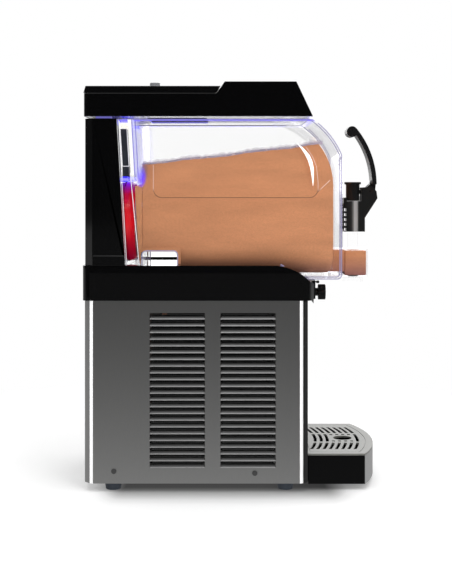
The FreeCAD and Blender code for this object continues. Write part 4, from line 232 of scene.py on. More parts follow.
@special
def louvre_steel(name):
    """The pressed louvre blades, with painted shade where they are deep and a painted highlight at
    their lower lips.
    """
    wiring = Wiring(shade(name, (0.1, 0.1, 0.1), 0.4, 1.0))
    height = wiring.add("SeparateXYZ", wiring.where()).outputs["Z"]
    pitch, first_edge = 0.011, 0.292
    count = wiring.math("MULTIPLY_ADD", height, -1 / pitch, first_edge / pitch)
    return wiring.paint(Base_Color=wiring.ramp(wiring.math("FRACT", count), [
        (0.3, 0.025), (0.6, 0.06), (0.8, 0.14), (0.92, 0.5)]))


@special
def sleeve_black(name):
    """Black plastic with a painted highlight streak down its rounded middle."""
    wiring = Wiring(shade(name, (0.008, 0.008, 0.008), 0.3))
    return wiring.paint(Base_Color=wiring.ramp(wiring.along((0, -1, 0), 0.196, 0.218), [
        (0.0, 0.008), (0.34, 0.02), (0.5, 0.16), (0.58, 0.42), (0.8, 0.32), (0.88, 0.03),
        (1.0, 0.01)]))


def see_through(name, color, flat, edge):
    """A clear plastic: a faint mirror face on, stronger where a wall is seen along its length."""
    wiring = Wiring(shade(name, color, 0.05, 1.0))
    facing = wiring.add("LayerWeight", Blend=0.5).outputs["Facing"]
    return wiring.paint(Alpha=wiring.ramp(facing, [
        (0.0, flat), (0.55, flat), (0.85, edge * 0.3), (0.95, edge * 0.6), (1.0, edge)]))


@special
def clear_plastic(name):
    return see_through(name, (0.78, 0.77, 0.84), 0.006, 0.5)


# Colours and glows of the light painted into the bowl's shell.
PALE = (0.74, 0.73, 0.82)
VIOLET = (0.3, 0.27, 0.85)
WHITE = (0.95, 0.95, 0.92)
DARK = (0.0, 0.0, 0.0)
VIOLET_GLOW = (0.25, 0.22, 0.75)
LINE_GLOW = (0.1, 0.08, 0.4)
WHITE_GLOW = (0.85, 0.85, 0.82)
CREAM_GLOW = (0.8, 0.78, 0.7)
HAZE_GLOW = (0.16, 0.15, 0.4)
UPPER_PAINTED_LIGHT = [  # painted light: place, colour, thickness and glow, as in the two lists below
    (0.0, PALE, 0.0, DARK), (0.52, PALE, 0.02, DARK), (0.58, VIOLET, 0.6, VIOLET_GLOW),
    (1.0, VIOLET, 0.75, VIOLET_GLOW)]
CREAM_PAINTED_LIGHT = [
    (0.0, WHITE, 0.85, WHITE_GLOW), (0.03, WHITE, 0.85, WHITE_GLOW),
    (0.07, WHITE, 0.9, CREAM_GLOW), (0.31, WHITE, 0.9, CREAM_GLOW), (0.33, WHITE, 0.0, DARK)]
REAR_PAINTED_LIGHT = [
    (0.0, WHITE, 0.6, WHITE_GLOW), (0.03, WHITE, 0.6, WHITE_GLOW), (0.05, WHITE, 0.0, DARK),
    (0.31, WHITE, 0.0, DARK), (0.33, WHITE, 0.92, WHITE_GLOW), (0.44, WHITE, 0.92, WHITE_GLOW),
    (0.47, VIOLET, 0.85, LINE_GLOW), (0.5, PALE, 0.7, (0.5, 0.5, 0.75)),
    (0.56, PALE, 0.6, (0.5, 0.5, 0.7)), (0.59, VIOLET, 0.6, LINE_GLOW),
    (0.63, PALE, 0.5, (0.45, 0.45, 0.65)), (0.75, PALE, 0.35, HAZE_GLOW), (1.0, PALE, 0.0, DARK)]
REAR_LEAN = 0.0572


@special
def clear_shell(name):
    """The bowl's clear shell, with painted violet light along its upper and rear edges from the
    light strips, and painted cream and white light on its rear flange.
    """
    wiring = Wiring(see_through(name, PALE, 0.008, 0.6))
    back = wiring.along((0, -1, REAR_LEAN), -0.1570, -0.1110)
    below_lamp = wiring.along((0, 0, -1), -0.6045, -0.6035)
    beside_lamp = wiring.math("MULTIPLY", wiring.along(UP, 0.592, 0.594), below_lamp)
    color, thick, glow = (*PALE, 1), 0.0, (*DARK, 1)
    for fraction, bands, limit in (
            (wiring.along(UP, 0.600, 0.612), UPPER_PAINTED_LIGHT, 1.0), (back, CREAM_PAINTED_LIGHT, beside_lamp),
            (back, REAR_PAINTED_LIGHT, wiring.along(UP, 0.508, 0.524))):
        tint, opaque, shine = (wiring.ramp(fraction, [(band[0], band[part]) for band in bands])
                               for part in (1, 2, 3))
        opaque = wiring.math("MULTIPLY", opaque, limit)
        ahead = wiring.math("GREATER_THAN", opaque, thick)
        color, glow = wiring.mix(ahead, color, tint), wiring.mix(ahead, glow, shine)
        thick = wiring.math("MAXIMUM", thick, opaque)
    # The painted light thins out towards the far side.
    fading = wiring.math("MULTIPLY_ADD", wiring.along((1, 0, 0), -0.05, 0.05), -0.65, 1.0)
    thick = wiring.math("MULTIPLY", thick, fading)
    clear = wiring.shader.inputs["Alpha"].links[0].from_socket
    return wiring.paint(Base_Color=color, Emission_Color=glow, Emission_Strength=1.0,
                        Alpha=wiring.math("MAXIMUM", clear, thick))


@special
def tub_crease(name):
    """The moulded step of the tub's sides: a painted highlight as a pale line up the sides, painted
    shade as a dark one along below.
    """
    wiring = Wiring(shade(name, (0.9, 0.6, 0.5), 0.4))
    dark = (0.2, 0.075, 0.035)
    return wiring.paint(Base_Color=wiring.ramp(wiring.along(UP, 0.474, 0.506), [
        (0.0, dark), (0.5, dark), (0.7, (0.85, 0.6, 0.52))]))


@special
def red_rubber(name):
    """The soft red gasket, with painted violet light at the top where the lamps stand, painted
    shade below and a painted glow all over.
    """
    wiring = Wiring(shade(name, (0.8, 0.01, 0.02), 0.28))
    tone = wiring.ramp(wiring.along(UP, 0.37, 0.506), [
        (0.0, (0.3, 0.0, 0.03)), (0.45, (0.8, 0.01, 0.02)), (0.85, (0.7, 0.005, 0.02)),
        (1.0, (0.3, 0.02, 0.5))])
    return wiring.paint(Base_Color=tone, Emission_Color=tone, Emission_Strength=0.5)


@special
def blue_light(name):
    """The lit diffuser of the light strips."""
    return lit(name, tone_of("light"), 0.8, roughness=0.3)


@special
def lamp_beads(name):
    """The lamps of the light strips, paler than the diffuser round them."""
    return lit(name, [0.12 + 0.88 * c for c in tone_of("light")], 1.6, roughness=0.3)


@special
def milkshake(name):
    """Thick chocolate milkshake, darker low down with painted shade, with a fine and a broad grain.
    """
    tone = tone_of("drink")
    wiring = Wiring(shade(name, tone, 0.7, 0.0, {"Specular IOR Level": 0.1}))
    # Painted shade towards the bottom of the tub.
    deep = (0.5 * tone[0], 0.5 * tone[1], 0.85 * tone[2])
    color = wiring.ramp(wiring.along(UP, 0.347, 0.38), [(0.0, deep), (1.0, tone)])
    for scale, contrast, stretch in ((300, 0.06, 1.0), (9, 0.09, 4.0)):
        place = wiring.vector("MULTIPLY", wiring.where(), (1, 1, stretch))
        noise = wiring.add("TexNoise", place, Scale=scale, Detail=3.0).outputs[0]
        swing = wiring.span(noise, 0.3, 0.7, 1 - contrast, 1 + contrast)
        color = wiring.vector("SCALE", color, Scale=swing)
    return wiring.paint(Base_Color=color)


@special
def foam_film(name):
    """The thin film of foam that the drink leaves on the tub's sides, fading upwards."""
    wiring = Wiring(shade(name, (0.5, 0.42, 0.52), 0.6, 0.0, {"Specular IOR Level": 0.1}))
    film = wiring.add("Attribute", attribute_name="film")
    return wiring.paint(Alpha=film.outputs["Fac"])


@special
def lamp_haze(name):
    """Blue light of the lower lamps caught in the clear plastic beside them."""
    wiring = Wiring(lit(name, (0.1, 0.05, 0.7), 1.0, (0.12, 0.03, 0.9)))
    centre, radius = Vector((0, 0.1555, 0.5145)), 0.0095
    place = wiring.add("Mapping", wiring.where(), Location=-centre).outputs[0]
    far = wiring.vector("LENGTH", wiring.vector("MULTIPLY", place, (0, 1, 0.5)))
    return wiring.paint(Alpha=wiring.ramp(wiring.span(far, 0.0, radius), [
        (0.0, 0.75), (0.3, 0.6), (1.0, 0.0)]))



# Ways of dressing the frame

def work_on(*meshes):
    """An editable mesh that holds some meshes."""
    work = bmesh.new()
    for mesh in meshes:
        work.from_mesh(mesh)
    return work


def written(work, mesh):
    """Write an editable mesh into a mesh, which may be the name of a new one."""
    mesh = bpy.data.meshes.new(mesh) if isinstance(mesh, str) else mesh
    work.to_mesh(mesh)
    work.free()
    return mesh


def smooth_by_angle(mesh, degrees=32):
    """Smooth shading with sharp edges kept where two faces meet at more than an angle."""
    work = work_on(mesh)
    limit = math.radians(degrees)
    for face in work.faces:
        face.smooth = True
    for edge in work.edges:
        if len(edge.link_faces) == 2:
            edge.smooth = edge.calc_face_angle(0) < limit
    written(work, mesh)


def new_piece(name, mesh, materials, body=None, node=None):
    """Put a finished mesh on a body as a piece more, or on a node's body in place of the node."""
    piece = bpy.data.objects.new(name.replace(" ", "_"), mesh)
    bpy.context.scene.collection.objects.link(piece)
    mesh.materials.clear()
    for each in ([materials] if isinstance(materials, str) else materials):
        mesh.materials.append(finish(each))
    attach(piece, body or body_with(node))
    if node:
        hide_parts(node)
    return piece


def body_with(node):
    bodies = frame["record"]["behaviour"]["bodies"]
    return next(body for body in bodies if node in bodies[body])


def clean_mesh(node):
    """A frame node's triangles as one merged mesh with flat faces made whole."""
    mesh = frame["nodes"][node].data.copy()
    mesh.name = node + " finished"
    work = work_on(mesh)
    bmesh.ops.remove_doubles(work, verts=work.verts, dist=0.00001)
    bmesh.ops.dissolve_limit(work, angle_limit=math.radians(0.6), verts=work.verts,
                             edges=work.edges)
    written(work, mesh)
    for name in [layer.name for layer in mesh.uv_layers]:
        mesh.uv_layers.remove(mesh.uv_layers[name])
    return mesh


def round_corner(mesh, test, radius):
    """Round the sharp edges of a mesh whose ends pass a test."""
    work = work_on(mesh)
    edges = [edge for edge in work.edges if len(edge.link_faces) == 2
             and edge.calc_face_angle(0) > 0.8 and all(test(v.co) for v in edge.verts)]
    if edges:
        bmesh.ops.bevel(work, geom=edges, offset=radius, offset_type="OFFSET", segments=6,
                        profile=0.5, affect="EDGES")
    written(work, mesh)


def dress(node, materials, edge, paint=None, corner=None):
    """Show a node of the frame as one clean mesh with softened edges and its real finish."""
    mesh = clean_mesh(node)
    if corner:
        round_corner(mesh, *corner)
    smooth_by_angle(mesh)
    piece = new_piece(node + " finished", mesh, materials, node=node)
    if edge:
        rounding = piece.modifiers.new("Softened edges", "BEVEL")
        rounding.width = edge * MM
        rounding.segments = 2
        rounding.limit_method = "ANGLE"
        rounding.angle_limit = math.radians(35)
    weigh = piece.modifiers.new("Flat faces stay flat", "WEIGHTED_NORMAL")
    weigh.keep_sharp = True
    weigh.weight = 60
    apply_modifiers(piece)
    if paint:
        for face in piece.data.polygons:
            face.material_index = paint(face)


def dress_all(*rows):
    """Dress nodes given with their finish and the softening of their edges in millimetres."""
    for nodes, material, edge in rows:
        for node in nodes.split():
            dress(node, material, edge)


def apply_modifiers(piece):
    """Replace a piece's mesh with its evaluated one and drop the modifiers."""
    graph = bpy.context.evaluated_depsgraph_get()
    graph.update()
    made = bpy.data.meshes.new_from_object(piece.evaluated_get(graph))
    old = piece.data
    piece.modifiers.clear()
    piece.data = made
    bpy.data.meshes.remove(old)


def vertex_grid(name, rows, closed_rows=True, capped=True):
    """A mesh from rows of points, each row joined to the next by quads."""
    work = bmesh.new()
    made = [[work.verts.new(p) for p in row] for row in rows]
    for here, there in zip(made, made[1:]):
        count = len(here)
        for i in range(count if closed_rows else count - 1):
            j = (i + 1) % count
            work.faces.new((here[i], here[j], there[j], there[i]))
    if capped:
        work.faces.new(made[0][::-1])
        work.faces.new(made[-1])
    bmesh.ops.recalc_face_normals(work, faces=work.faces)
    return written(work, name)


def box_mesh(name, a, b):
    """A closed box between two corners, in metres."""
    work = bmesh.new()
    bmesh.ops.create_cube(work, size=1)
    for vertex in work.verts:
        for i in range(3):
            vertex.co[i] = (a[i] + b[i]) / 2 + vertex.co[i] * (b[i] - a[i])
    return written(work, name)


def cylinder_mesh(name, radius, start, end, sides):
    """A closed cylinder between two points."""
    start, end = Vector(start), Vector(end)
    work = bmesh.new()
    bmesh.ops.create_cone(work, cap_ends=True, segments=sides, radius1=radius, radius2=radius,
                          depth=(end - start).length)
    turn = (end - start).to_track_quat("Z", "Y")
    for vertex in work.verts:
        vertex.co = turn @ vertex.co + (start + end) / 2
    return written(work, name)


def ball_mesh(name, radius):
    """A closed ball about the origin."""
    work = bmesh.new()
    bmesh.ops.create_uvsphere(work, u_segments=20, v_segments=10, radius=radius)
    for face in work.faces:
        face.smooth = True
    return written(work, name)


def carve(mesh, tool):
    """Cut a tool mesh out of a mesh and give back the result."""
    base, helper = (bpy.data.objects.new("carved", each) for each in (mesh, tool))
    for each in (base, helper):
        bpy.context.scene.collection.objects.link(each)
    cut = base.modifiers.new("Cut", "BOOLEAN")
    cut.operation = "DIFFERENCE"
    cut.solver = "EXACT"
    cut.object = helper
    apply_modifiers(base)
    made = base.data
    for each in (base, helper):
        bpy.data.objects.remove(each)
    bpy.data.meshes.remove(tool)
    return made


# Geometry Nodes for what repeats or follows a path

def new_tree(name, **inputs):
    """The wiring of an empty geometry tree with named inputs, and their sockets."""
    tree = bpy.data.node_groups.new(name, "GeometryNodeTree")
    for label, kind in {"Geometry": "Geometry", **inputs, "Material": "Material"}.items():
        tree.interface.new_socket(label, in_out="INPUT", socket_type="NodeSocket" + kind)
    tree.interface.new_socket("Geometry", in_out="OUTPUT", socket_type="NodeSocketGeometry")
    wiring = Wiring(tree)
    return wiring, wiring.add("NodeGroupInput").outputs


def end_tree(wiring, given, geometry):
    """Realize what a tree made, give it its material and hand it out."""
    real = wiring.add("RealizeInstances", geometry).outputs[0]
    paint = wiring.add("SetMaterial", real, Material=given["Material"])
    wiring.add("NodeGroupOutput", paint.outputs[0])
    return wiring.tree


def row_tree():
    """Copies of a mesh in a straight row."""
    wiring, given = new_tree("Row of copies", Count="Int", First="Vector", Step="Vector")
    line = wiring.add("MeshLine", mode="OFFSET", Count=given["Count"],
                      Start_Location=given["First"], Offset=given["Step"]).outputs[0]
    return end_tree(wiring, given, wiring.add("InstanceOnPoints", line,
                                              Instance=given["Geometry"]).outputs[0])


def wire_tree():
    """A round wire along the edges of a mesh."""
    wiring, given = new_tree("Wire along edges", Radius="Float")
    path = wiring.add("MeshToCurve", given["Geometry"]).outputs[0]
    ring = wiring.add("CurvePrimitiveCircle", Resolution=8, Radius=given["Radius"])
    return end_tree(wiring, given, wiring.add(
        "CurveToMesh", path, ring.outputs["Curve"], Fill_Caps=True).outputs[0])


def bubble_tree():
    """Bubbles scattered over a surface: small balls of mixed size."""
    wiring, given = new_tree("Foam bubbles", Count="Int", Smallest="Float", Largest="Float")
    seed = 7
    spread = wiring.add("DistributePointsOnFaces", given["Geometry"],
                        distribute_method="RANDOM", Density=given["Count"], Seed=seed)
    ball = wiring.add("MeshIcoSphere", Radius=1.0, Subdivisions=2)
    size = wiring.add("FunctionNodeRandomValue", data_type="FLOAT", Seed=seed + 1)
    wiring.fill(size, {2: given["Smallest"], 3: given["Largest"]})
    return end_tree(wiring, given, wiring.add(
        "InstanceOnPoints", spread.outputs["Points"], Instance=ball.outputs["Mesh"],
        Scale=size.outputs[1]).outputs[0])


TREES = {"Row of copies": row_tree, "Wire along edges": wire_tree, "Foam bubbles": bubble_tree}


def grow(name, mesh, tree_name, **values):
    """Run a tree on a mesh and give back the plain mesh that it makes."""
    tree = bpy.data.node_groups.get(tree_name) or TREES[tree_name]()
    carrier = bpy.data.objects.new(name, mesh)
    bpy.context.scene.collection.objects.link(carrier)
    modifier = carrier.modifiers.new("Grown", "NODES")
    modifier.node_group = tree
    for item in tree.interface.items_tree:
        if item.in_out == "INPUT" and item.name in values:
            modifier[item.identifier] = values[item.name]
    apply_modifiers(carrier)
    made = carrier.data
    bpy.data.objects.remove(carrier)
    return made


def wires(name, points, edges, radius, material):
    """Round wires on the bowl along edges between points."""
    mesh = bpy.data.meshes.new(name)
    mesh.from_pydata(points, edges, [])
    made = grow(name, mesh, "Wire along edges", Radius=radius, Material=finish(material))
    for face in made.polygons:
        face.use_smooth = True
    new_piece(name, made, material, "bowl")


def wire(name, points, radius, material):
    """One round wire through points."""
    wires(name, points, [(i, i + 1) for i in range(len(points) - 1)], radius, material)


def shell_wires(name, test, radius, material, corner=None):
    """Fine wires along the sharp edges of the bowl's shell whose ends pass a test."""
    shape = clean_mesh("bowl_shell")
    if corner:
        round_corner(shape, *corner)
    work = work_on(shape)
    points = []
    for edge in work.edges:
        if len(edge.link_faces) == 2 and edge.calc_face_angle(0) > math.radians(50):
            a, b = (vertex.co.copy() for vertex in edge.verts)
            if test(a, b):
                points += [a, b]
    work.free()
    wires(name, points, [(i, i + 1) for i in range(0, len(points), 2)], radius, material)


# Settings shown in the sidebar

def tone(name, description, *default):
    return FloatVectorProperty(name=name, description=description, subtype="COLOR",
                               default=default, min=0, max=1)


class MilkshakeFinish(bpy.types.PropertyGroup):
    """Colours of the machine."""
    steel: tone("Steel", "Tone of the brushed side panels", 0.46, 0.46, 0.455)
    gloss: tone("Gloss black", "Colour of the glossy mouldings", 0.0012, 0.0012, 0.0014)
    satin: tone("Satin black", "Colour of tap, knob and front panel", 0.008, 0.008, 0.0085)
    drink: tone("Milkshake", "Colour of the drink in the bowl", 0.63, 0.28, 0.14)
    light: tone("Light", "Colour of the light strips behind the bowl", 0.05, 0.04, 1.0)


class MilkshakeSizes(bpy.types.PropertyGroup):
    """Sizes that a user would change."""
    level: FloatProperty(
        name="Drink level", description="Height of the drink at the front of the bowl",
        default=0.569, unit="LENGTH")
    fall: FloatProperty(
        name="Drink fall", description="How far the surface falls from front to rear",
        default=0.033, unit="LENGTH")
    bubbles: IntProperty(
        name="Bubbles", description="Bubbles in the foam along the surface", default=260,
        min=0, max=2000)
    edge: FloatProperty(
        name="Edges", description="Softened edges of the mouldings, in millimetres",
        default=0.6, min=0, max=3)


# Housing

class PieceGroup:
    """An operator's way of dressing a group whose pieces need nothing special."""

    def execute(self, context):
        dress_all(*self.rows)
        return {"FINISHED"}


def panel_paint(face):
    """The finish of a side panel's face: a painted highlight on its slanting ends, painted shade on
    its louvres.
    """
    front_bend, rear_bend = -0.104, 0.22
    if not front_bend <= face.center.y <= rear_bend:
        return int(0.2 < abs(face.normal.y) < 0.6 and abs(face.normal.x) > 0.7)
    return 2 if abs(face.normal.z) > 0.12 and 0.03 < face.center.z < 0.3 else 0


class MILKSHAKE_OT_cabinet(bpy.types.Operator):
    """Side panels, rear and front panel, base pan, feet, display and screws"""
    bl_idname = "milkshake.cabinet"
    bl_label = "Cabinet"

    def execute(self, context):
        for node in ("side_panel_left", "side_panel_right"):
            # The panels' bends get a painted highlight and their louvres painted shade.
            dress(node, ["brushed steel", "bright steel", "louvre steel"], 0.0, panel_paint)
        dress_all(("rear_panel base_pan", "brushed steel", 0.0),
                  ("front_panel", "gloss black", 0.6), ("rubber_feet", "grey-blue rubber", 0.8),
                  ("control_display", "display glass", 0.3), ("panel_screws", "screw steel", 0.3))
        return {"FINISHED"}


class MILKSHAKE_OT_deck(bpy.types.Operator):
    """The gloss black deck with its satin fascia"""
    bl_idname = "milkshake.deck"
    bl_label = "Deck"

    def execute(self, context):
        edge = context.scene.milkshake_sizes.edge
        dress_all(("deck", "gloss black", edge * 2), ("deck_fascia", "satin metal", 0.3))
        return {"FINISHED"}


class MILKSHAKE_OT_column(bpy.types.Operator):
    """The rear column with its vented cover"""
    bl_idname = "milkshake.column"
    bl_label = "Rear column"

    def execute(self, context):
        edge = context.scene.milkshake_sizes.edge
        dress_all(("rear_column", "gloss black", edge * 2),
                  ("column_rear_cover", "satin black", 0.4))
        return {"FINISHED"}


class MILKSHAKE_OT_hood(bpy.types.Operator):
    """The hood, its clear plate, the filling lid and the lid's knob"""
    bl_idname = "milkshake.hood"
    bl_label = "Hood and lid"

    def execute(self, context):
        edge = context.scene.milkshake_sizes.edge
        dress_all(("top_cover filling_lid", "gloss black", edge * 1.5))
        # The liner's side faces get painted violet light.
        dress("cover_liner", ["dark clear plate", "lit liner edge"], 0.0,
              paint=lambda face: int(abs(face.normal.z) < 0.5))
        dress("lid_knob", "grey clear plastic", 0.8)
        return {"FINISHED"}


# Bowl

OUTER_X = 0.1015  # further out than this are the edges that the bowl's shell shows from the side
RECESS_X = 0.1041  # the face of the shallow recess in the bowl's sides, and its limits
RECESS_Y = (-0.1381, 0.1341)
RECESS_Z = (0.479, 0.4946)
FLANGE_Y = 0.153  # where the bowl's rear flange starts
FOOT_Z = 0.3692  # a little above the deck
FILM = 0.0002  # half the thickness of the thin layers that stand for light in the plastic


def outline_edges(a, b):
    """Whether an edge belongs to the shell's outline, before the flange and off the recess."""
    side = min(abs(a.x), abs(b.x))
    front, rear, foot = min(a.y, b.y), max(a.y, b.y), min(a.z, b.z)
    in_recess = (side > RECESS_X and foot > RECESS_Z[0] and front > RECESS_Y[0]
                 and rear < RECESS_Y[1])
    return side > OUTER_X and not in_recess and front < FLANGE_Y


def recess_edges(a, b):
    return all(RECESS_X < abs(v.x) < RECESS_X + MM and RECESS_Z[0] < v.z < RECESS_Z[1]
               and RECESS_Y[0] < v.y < RECESS_Y[1] for v in (a, b))


def flange_edges(a, b):
    return min(a.y, b.y) > FLANGE_Y and min(abs(a.x), abs(b.x)) > 0.1049


def corner_light(x):
    """Light caught in the bowl's rounded upper front corner: a band of changing width."""
    arc = [(-0.1036, 0.5705, 0.0003), (-0.113, 0.561, 0.0022), (-0.1205, 0.5515, 0.0034),
           (-0.1255, 0.541, 0.0034), (-0.1285, 0.529, 0.0028), (-0.1298, 0.515, 0.0018),
           (-0.1302, 0.4996, 0.0003)]
    return vertex_grid("streak", [
        [(x - FILM, y - wide, z), (x + FILM, y - wide, z), (x + FILM, y + wide, z),
         (x - FILM, y + wide, z)] for y, z, wide in arc])


def rear_glimpse(x):
    """A painted image of the drink refracted in the bowl's rear wall, and round the cut-out below
    it.
    """
    turns = [math.radians(15 * i) for i in range(7)]
    bend, top = 0.005, 0.3902
    inner = [(0.0955, FOOT_Z)]
    inner += [(0.1005 - bend * math.cos(t), top - bend + bend * math.sin(t)) for t in turns]
    inner += [(0.1507 + bend * math.sin(t), top - bend + bend * math.cos(t)) for t in turns]
    inner += [(0.1557, FOOT_Z)]
    outer = [(0.089, FOOT_Z)] + [(0.089, 0.397)] * 7 + [(0.16, 0.397)] * 7 + [(0.1575, FOOT_Z)]
    cut_out = vertex_grid("frame", [
        [(x - FILM, *o), (x - FILM, *i), (x + FILM, *i), (x + FILM, *o)]
        for o, i in zip(outer, inner)])
    behind = [(0.1536, 0.3968), (0.16, 0.3968), (0.1655, 0.4985), (0.1536, 0.5026)]
    wall = vertex_grid("glimpse", [[(x + side, y, z) for y, z in behind] for side in (-FILM, FILM)])
    return written(work_on(wall, cut_out), "glimpse")


def flat_box(name, x, half, low_end, high_end):
    """A thin box at a place across the machine, between two corners given in y and z."""
    return box_mesh(name, (x - half, *low_end), (x + half, *high_end))


def side_marks(side, out):
    """The fine marks of painted light and shade, and of the drink seen in the wall, on one side of
    the bowl.
    """
    corner_x, drink_x, lamp_x, crease_x = (out * x for x in (0.1, 0.093, 0.101463, 0.104405427))
    new_piece("light in the front corner " + side, corner_light(corner_x),
              "light caught in a corner", "bowl")
    new_piece("drink seen in the rear wall " + side, rear_glimpse(drink_x), "milkshake", "bowl")
    # A thin sheet of painted lamp light in the shell beside the upper lamp.
    lamp = flat_box("lamp", lamp_x, 0.0004, (0.1725, 0.6035), (0.1885, 0.6094))
    new_piece("upper lamp glow " + side, lamp, "lamp beads", "bowl")
    # Wires with the painted highlight and shade of the tub's crease.
    front, rear = RECESS_Y[0] - 0.0001, RECESS_Y[1] + 0.0001
    for part, points, radius in (
            ("front", [(front, 0.4936), (front, 0.505), (-0.1356, 0.5315), (-0.1285, 0.549),
                       (-0.1182, 0.5637)], 0.0005),
            ("corner", [(front, 0.49), (-0.1582, 0.509)], 0.0006),
            ("rear", [(rear, 0.4936), (rear, 0.534)], 0.0005)):
        wire("bowl recess %s %s" % (part, side), [(crease_x, y, z) for y, z in points], radius,
             "tub crease")


def lamp_row(node):
    """The lamps on a light strip: a row to the front and a few at each of its ends."""
    a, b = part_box(node)
    count, margin, inset = 15, 0.006, 0.0002
    middle = (a.z + b.z) / 2
    rows = [(count, (a.x + margin, a.y + 0.0032, middle),
             ((b.x - a.x - 2 * margin) / (count - 1), 0, 0))]
    rows += [(3, (x, a.y + 0.0012, middle - 0.001), (0, 0.0035, 0.0))
             for x in (a.x + inset, b.x - inset)]
    beads = [grow("beads", ball_mesh("bead", 0.0024), "Row of copies", Count=many, First=first,
                  Step=step, Material=finish("lamp beads")) for many, first, step in rows]
    return written(work_on(*beads), node + " beads")


def gasket():
    """The soft red gasket: a ring with a rounded front that presses into the tub's collar."""
    a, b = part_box("bowl_gasket")
    middle = (a.z + b.z) / 2
    outer = (b.z - a.z) / 2
    profile = [(outer, b.y), (outer, b.y - 0.008), (outer - 0.0008, b.y - 0.012),
               (outer - 0.003, b.y - 0.0155), (outer - 0.0062, b.y - 0.0175),
               (outer - 0.0069, b.y - 0.0165), (outer - 0.0069, b.y)]
    rows = []
    for i in range(96):
        turn = 2 * math.pi * i / 96
        rows.append([(r * math.cos(turn), y, middle + r * math.sin(turn)) for r, y in profile])
    rows.append(rows[0])
    mesh = vertex_grid("gasket", rows, capped=False)
    work = work_on(mesh)
    bmesh.ops.remove_doubles(work, verts=work.verts, dist=0.00001)
    bmesh.ops.recalc_face_normals(work, faces=work.faces)
    smooth_by_angle(written(work, mesh), 50)
    new_piece("bowl gasket finished", mesh, "red rubber", node="bowl_gasket")


class MILKSHAKE_OT_bowl(bpy.types.Operator):
    """The clear bowl with its tub, outlet block, gasket and lights"""
    bl_idname = "milkshake.bowl"
    bl_label = "Bowl"

    def execute(self, context):
        corner = (lambda v: v.y < -0.165 and v.z < 0.3495, 0.0065)
        dress("bowl_shell", "clear shell", 0.0, corner=corner)
        dress_all(("bowl_tub spigot", "clear plastic", 0.0))
        gasket()
        dress_all(("light_strip_upper light_strip_lower", "blue light", 0.3),
                  ("light_housing", "slate plastic", 0.4))
        # Wires along the shell's outline, recess and flange carry painted light and shade.
        shell_wires("bowl edges", outline_edges, 0.0008, "lit plastic edge", corner)
        shell_wires("bowl recess edges", recess_edges, 0.0005, "tub crease")
        shell_wires("bowl flange edges", flange_edges, 0.0005, "white plastic edge")
        for side, out in (("left", -1), ("right", 1)):
            side_marks(side, out)
        for side, out in (("left", -1), ("right", 1)):
            x = out * 0.1048
            # A painted highlight line down the rear of the shell.
            wire("bowl rear line " + side, [(x, 0.1723, 0.5207), (x, 0.1575, 0.369)], 0.0006,
                 "white plastic edge")
            film = flat_box("lamp haze", out * 0.0936, FILM, (0.138, 0.494), (0.172, 0.535))
            new_piece("lamp haze " + side, film, "lamp haze", "bowl")
        for node in ("light_strip_upper", "light_strip_lower"):
            new_piece(node + " beads", lamp_row(node), "lamp beads", "cabinet")
        return {"FINISHED"}


# Drink

def drink_front(z, deep):
    """Where the tub's front wall stands at a height, moved in by a small distance."""
    shoulder_z, middle_y, radius = 0.5, -0.0537, 0.1111 - deep
    over = max(0.0, z - shoulder_z)
    return middle_y - math.sqrt(radius ** 2 - over ** 2)


def drink_surface(x, y, sizes):
    """Height of the drink's thick, slightly uneven surface."""
    forward = min(1.0, max(0.0, (0.154 - y) / 0.29))
    swell = 0.0011 * math.sin(41 * x + 1.3) * math.sin(57 * y + 0.4)
    fine = 0.0005 * math.sin(173 * x + 90 * y) * math.sin(211 * y - 60 * x)
    return sizes.level - sizes.fall * (1 - forward ** 1.15) + swell + fine


def drink_mesh(sizes):
    """The drink as it fills the tub, one closed outline for each distance from the middle."""
    deep = 0.0003
    wall, flange, gap = 0.0022, 0.009, 0.0002
    low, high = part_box("bowl_tub")
    half = min(high.x - wall - flange - gap, 0.0905)
    floor_low = low.z + wall + deep
    step_z, step_y, rear_y = 0.3945, 0.0914, 0.1534
    corner, bend = 0.0455, 0.01
    foot = drink_front(0.4, deep)
    rows = []
    for i in range(-16, 17):
        x = half * math.sin(math.radians(90 * i / 16))
        over = max(0.0, abs(x) - (half - corner))
        floor = floor_low + corner - math.sqrt(max(0.0, corner ** 2 - over ** 2))
        row = [(x, rear_y, max(floor, step_z)), (x, step_y, max(floor, step_z)),
               (x, step_y, min(floor, step_z - 0.0002))]
        for turn in (math.radians(15 * i) for i in range(7)):
            row.append((x, foot + bend * (1 - math.sin(turn)), floor + bend * (1 - math.cos(turn))))
        rise = drink_surface(x, -0.14, sizes) - floor - bend
        for z in (floor + bend + rise * i / 14 for i in range(1, 15)):
            row.append((x, drink_front(z, deep), z))
        start = row[-1][1]
        for y in (start + (rear_y - start) * i / 40 for i in range(1, 41)):
            row.append((x, y, drink_surface(x, y, sizes)))
        rows.append(row)
    return vertex_grid("drink", rows)


def foam_mesh(sizes):
    """Bubbles along the drink's surface just inside the tub's near side."""
    above, bed_area = 0.0004, 0.004
    rows = []
    for i in range(61):
        y = -0.138 + 0.289 * i / 60
        rows.append([(x, y, drink_surface(x, y, sizes) + above) for x in (-0.0903, -0.084, -0.076)])
    bed = vertex_grid("foam bed", rows, closed_rows=False, capped=False)
    return grow("foam", bed, "Foam bubbles", Count=int(sizes.bubbles / bed_area),
                Smallest=0.0007, Largest=0.0022, Material=finish("milk foam"))


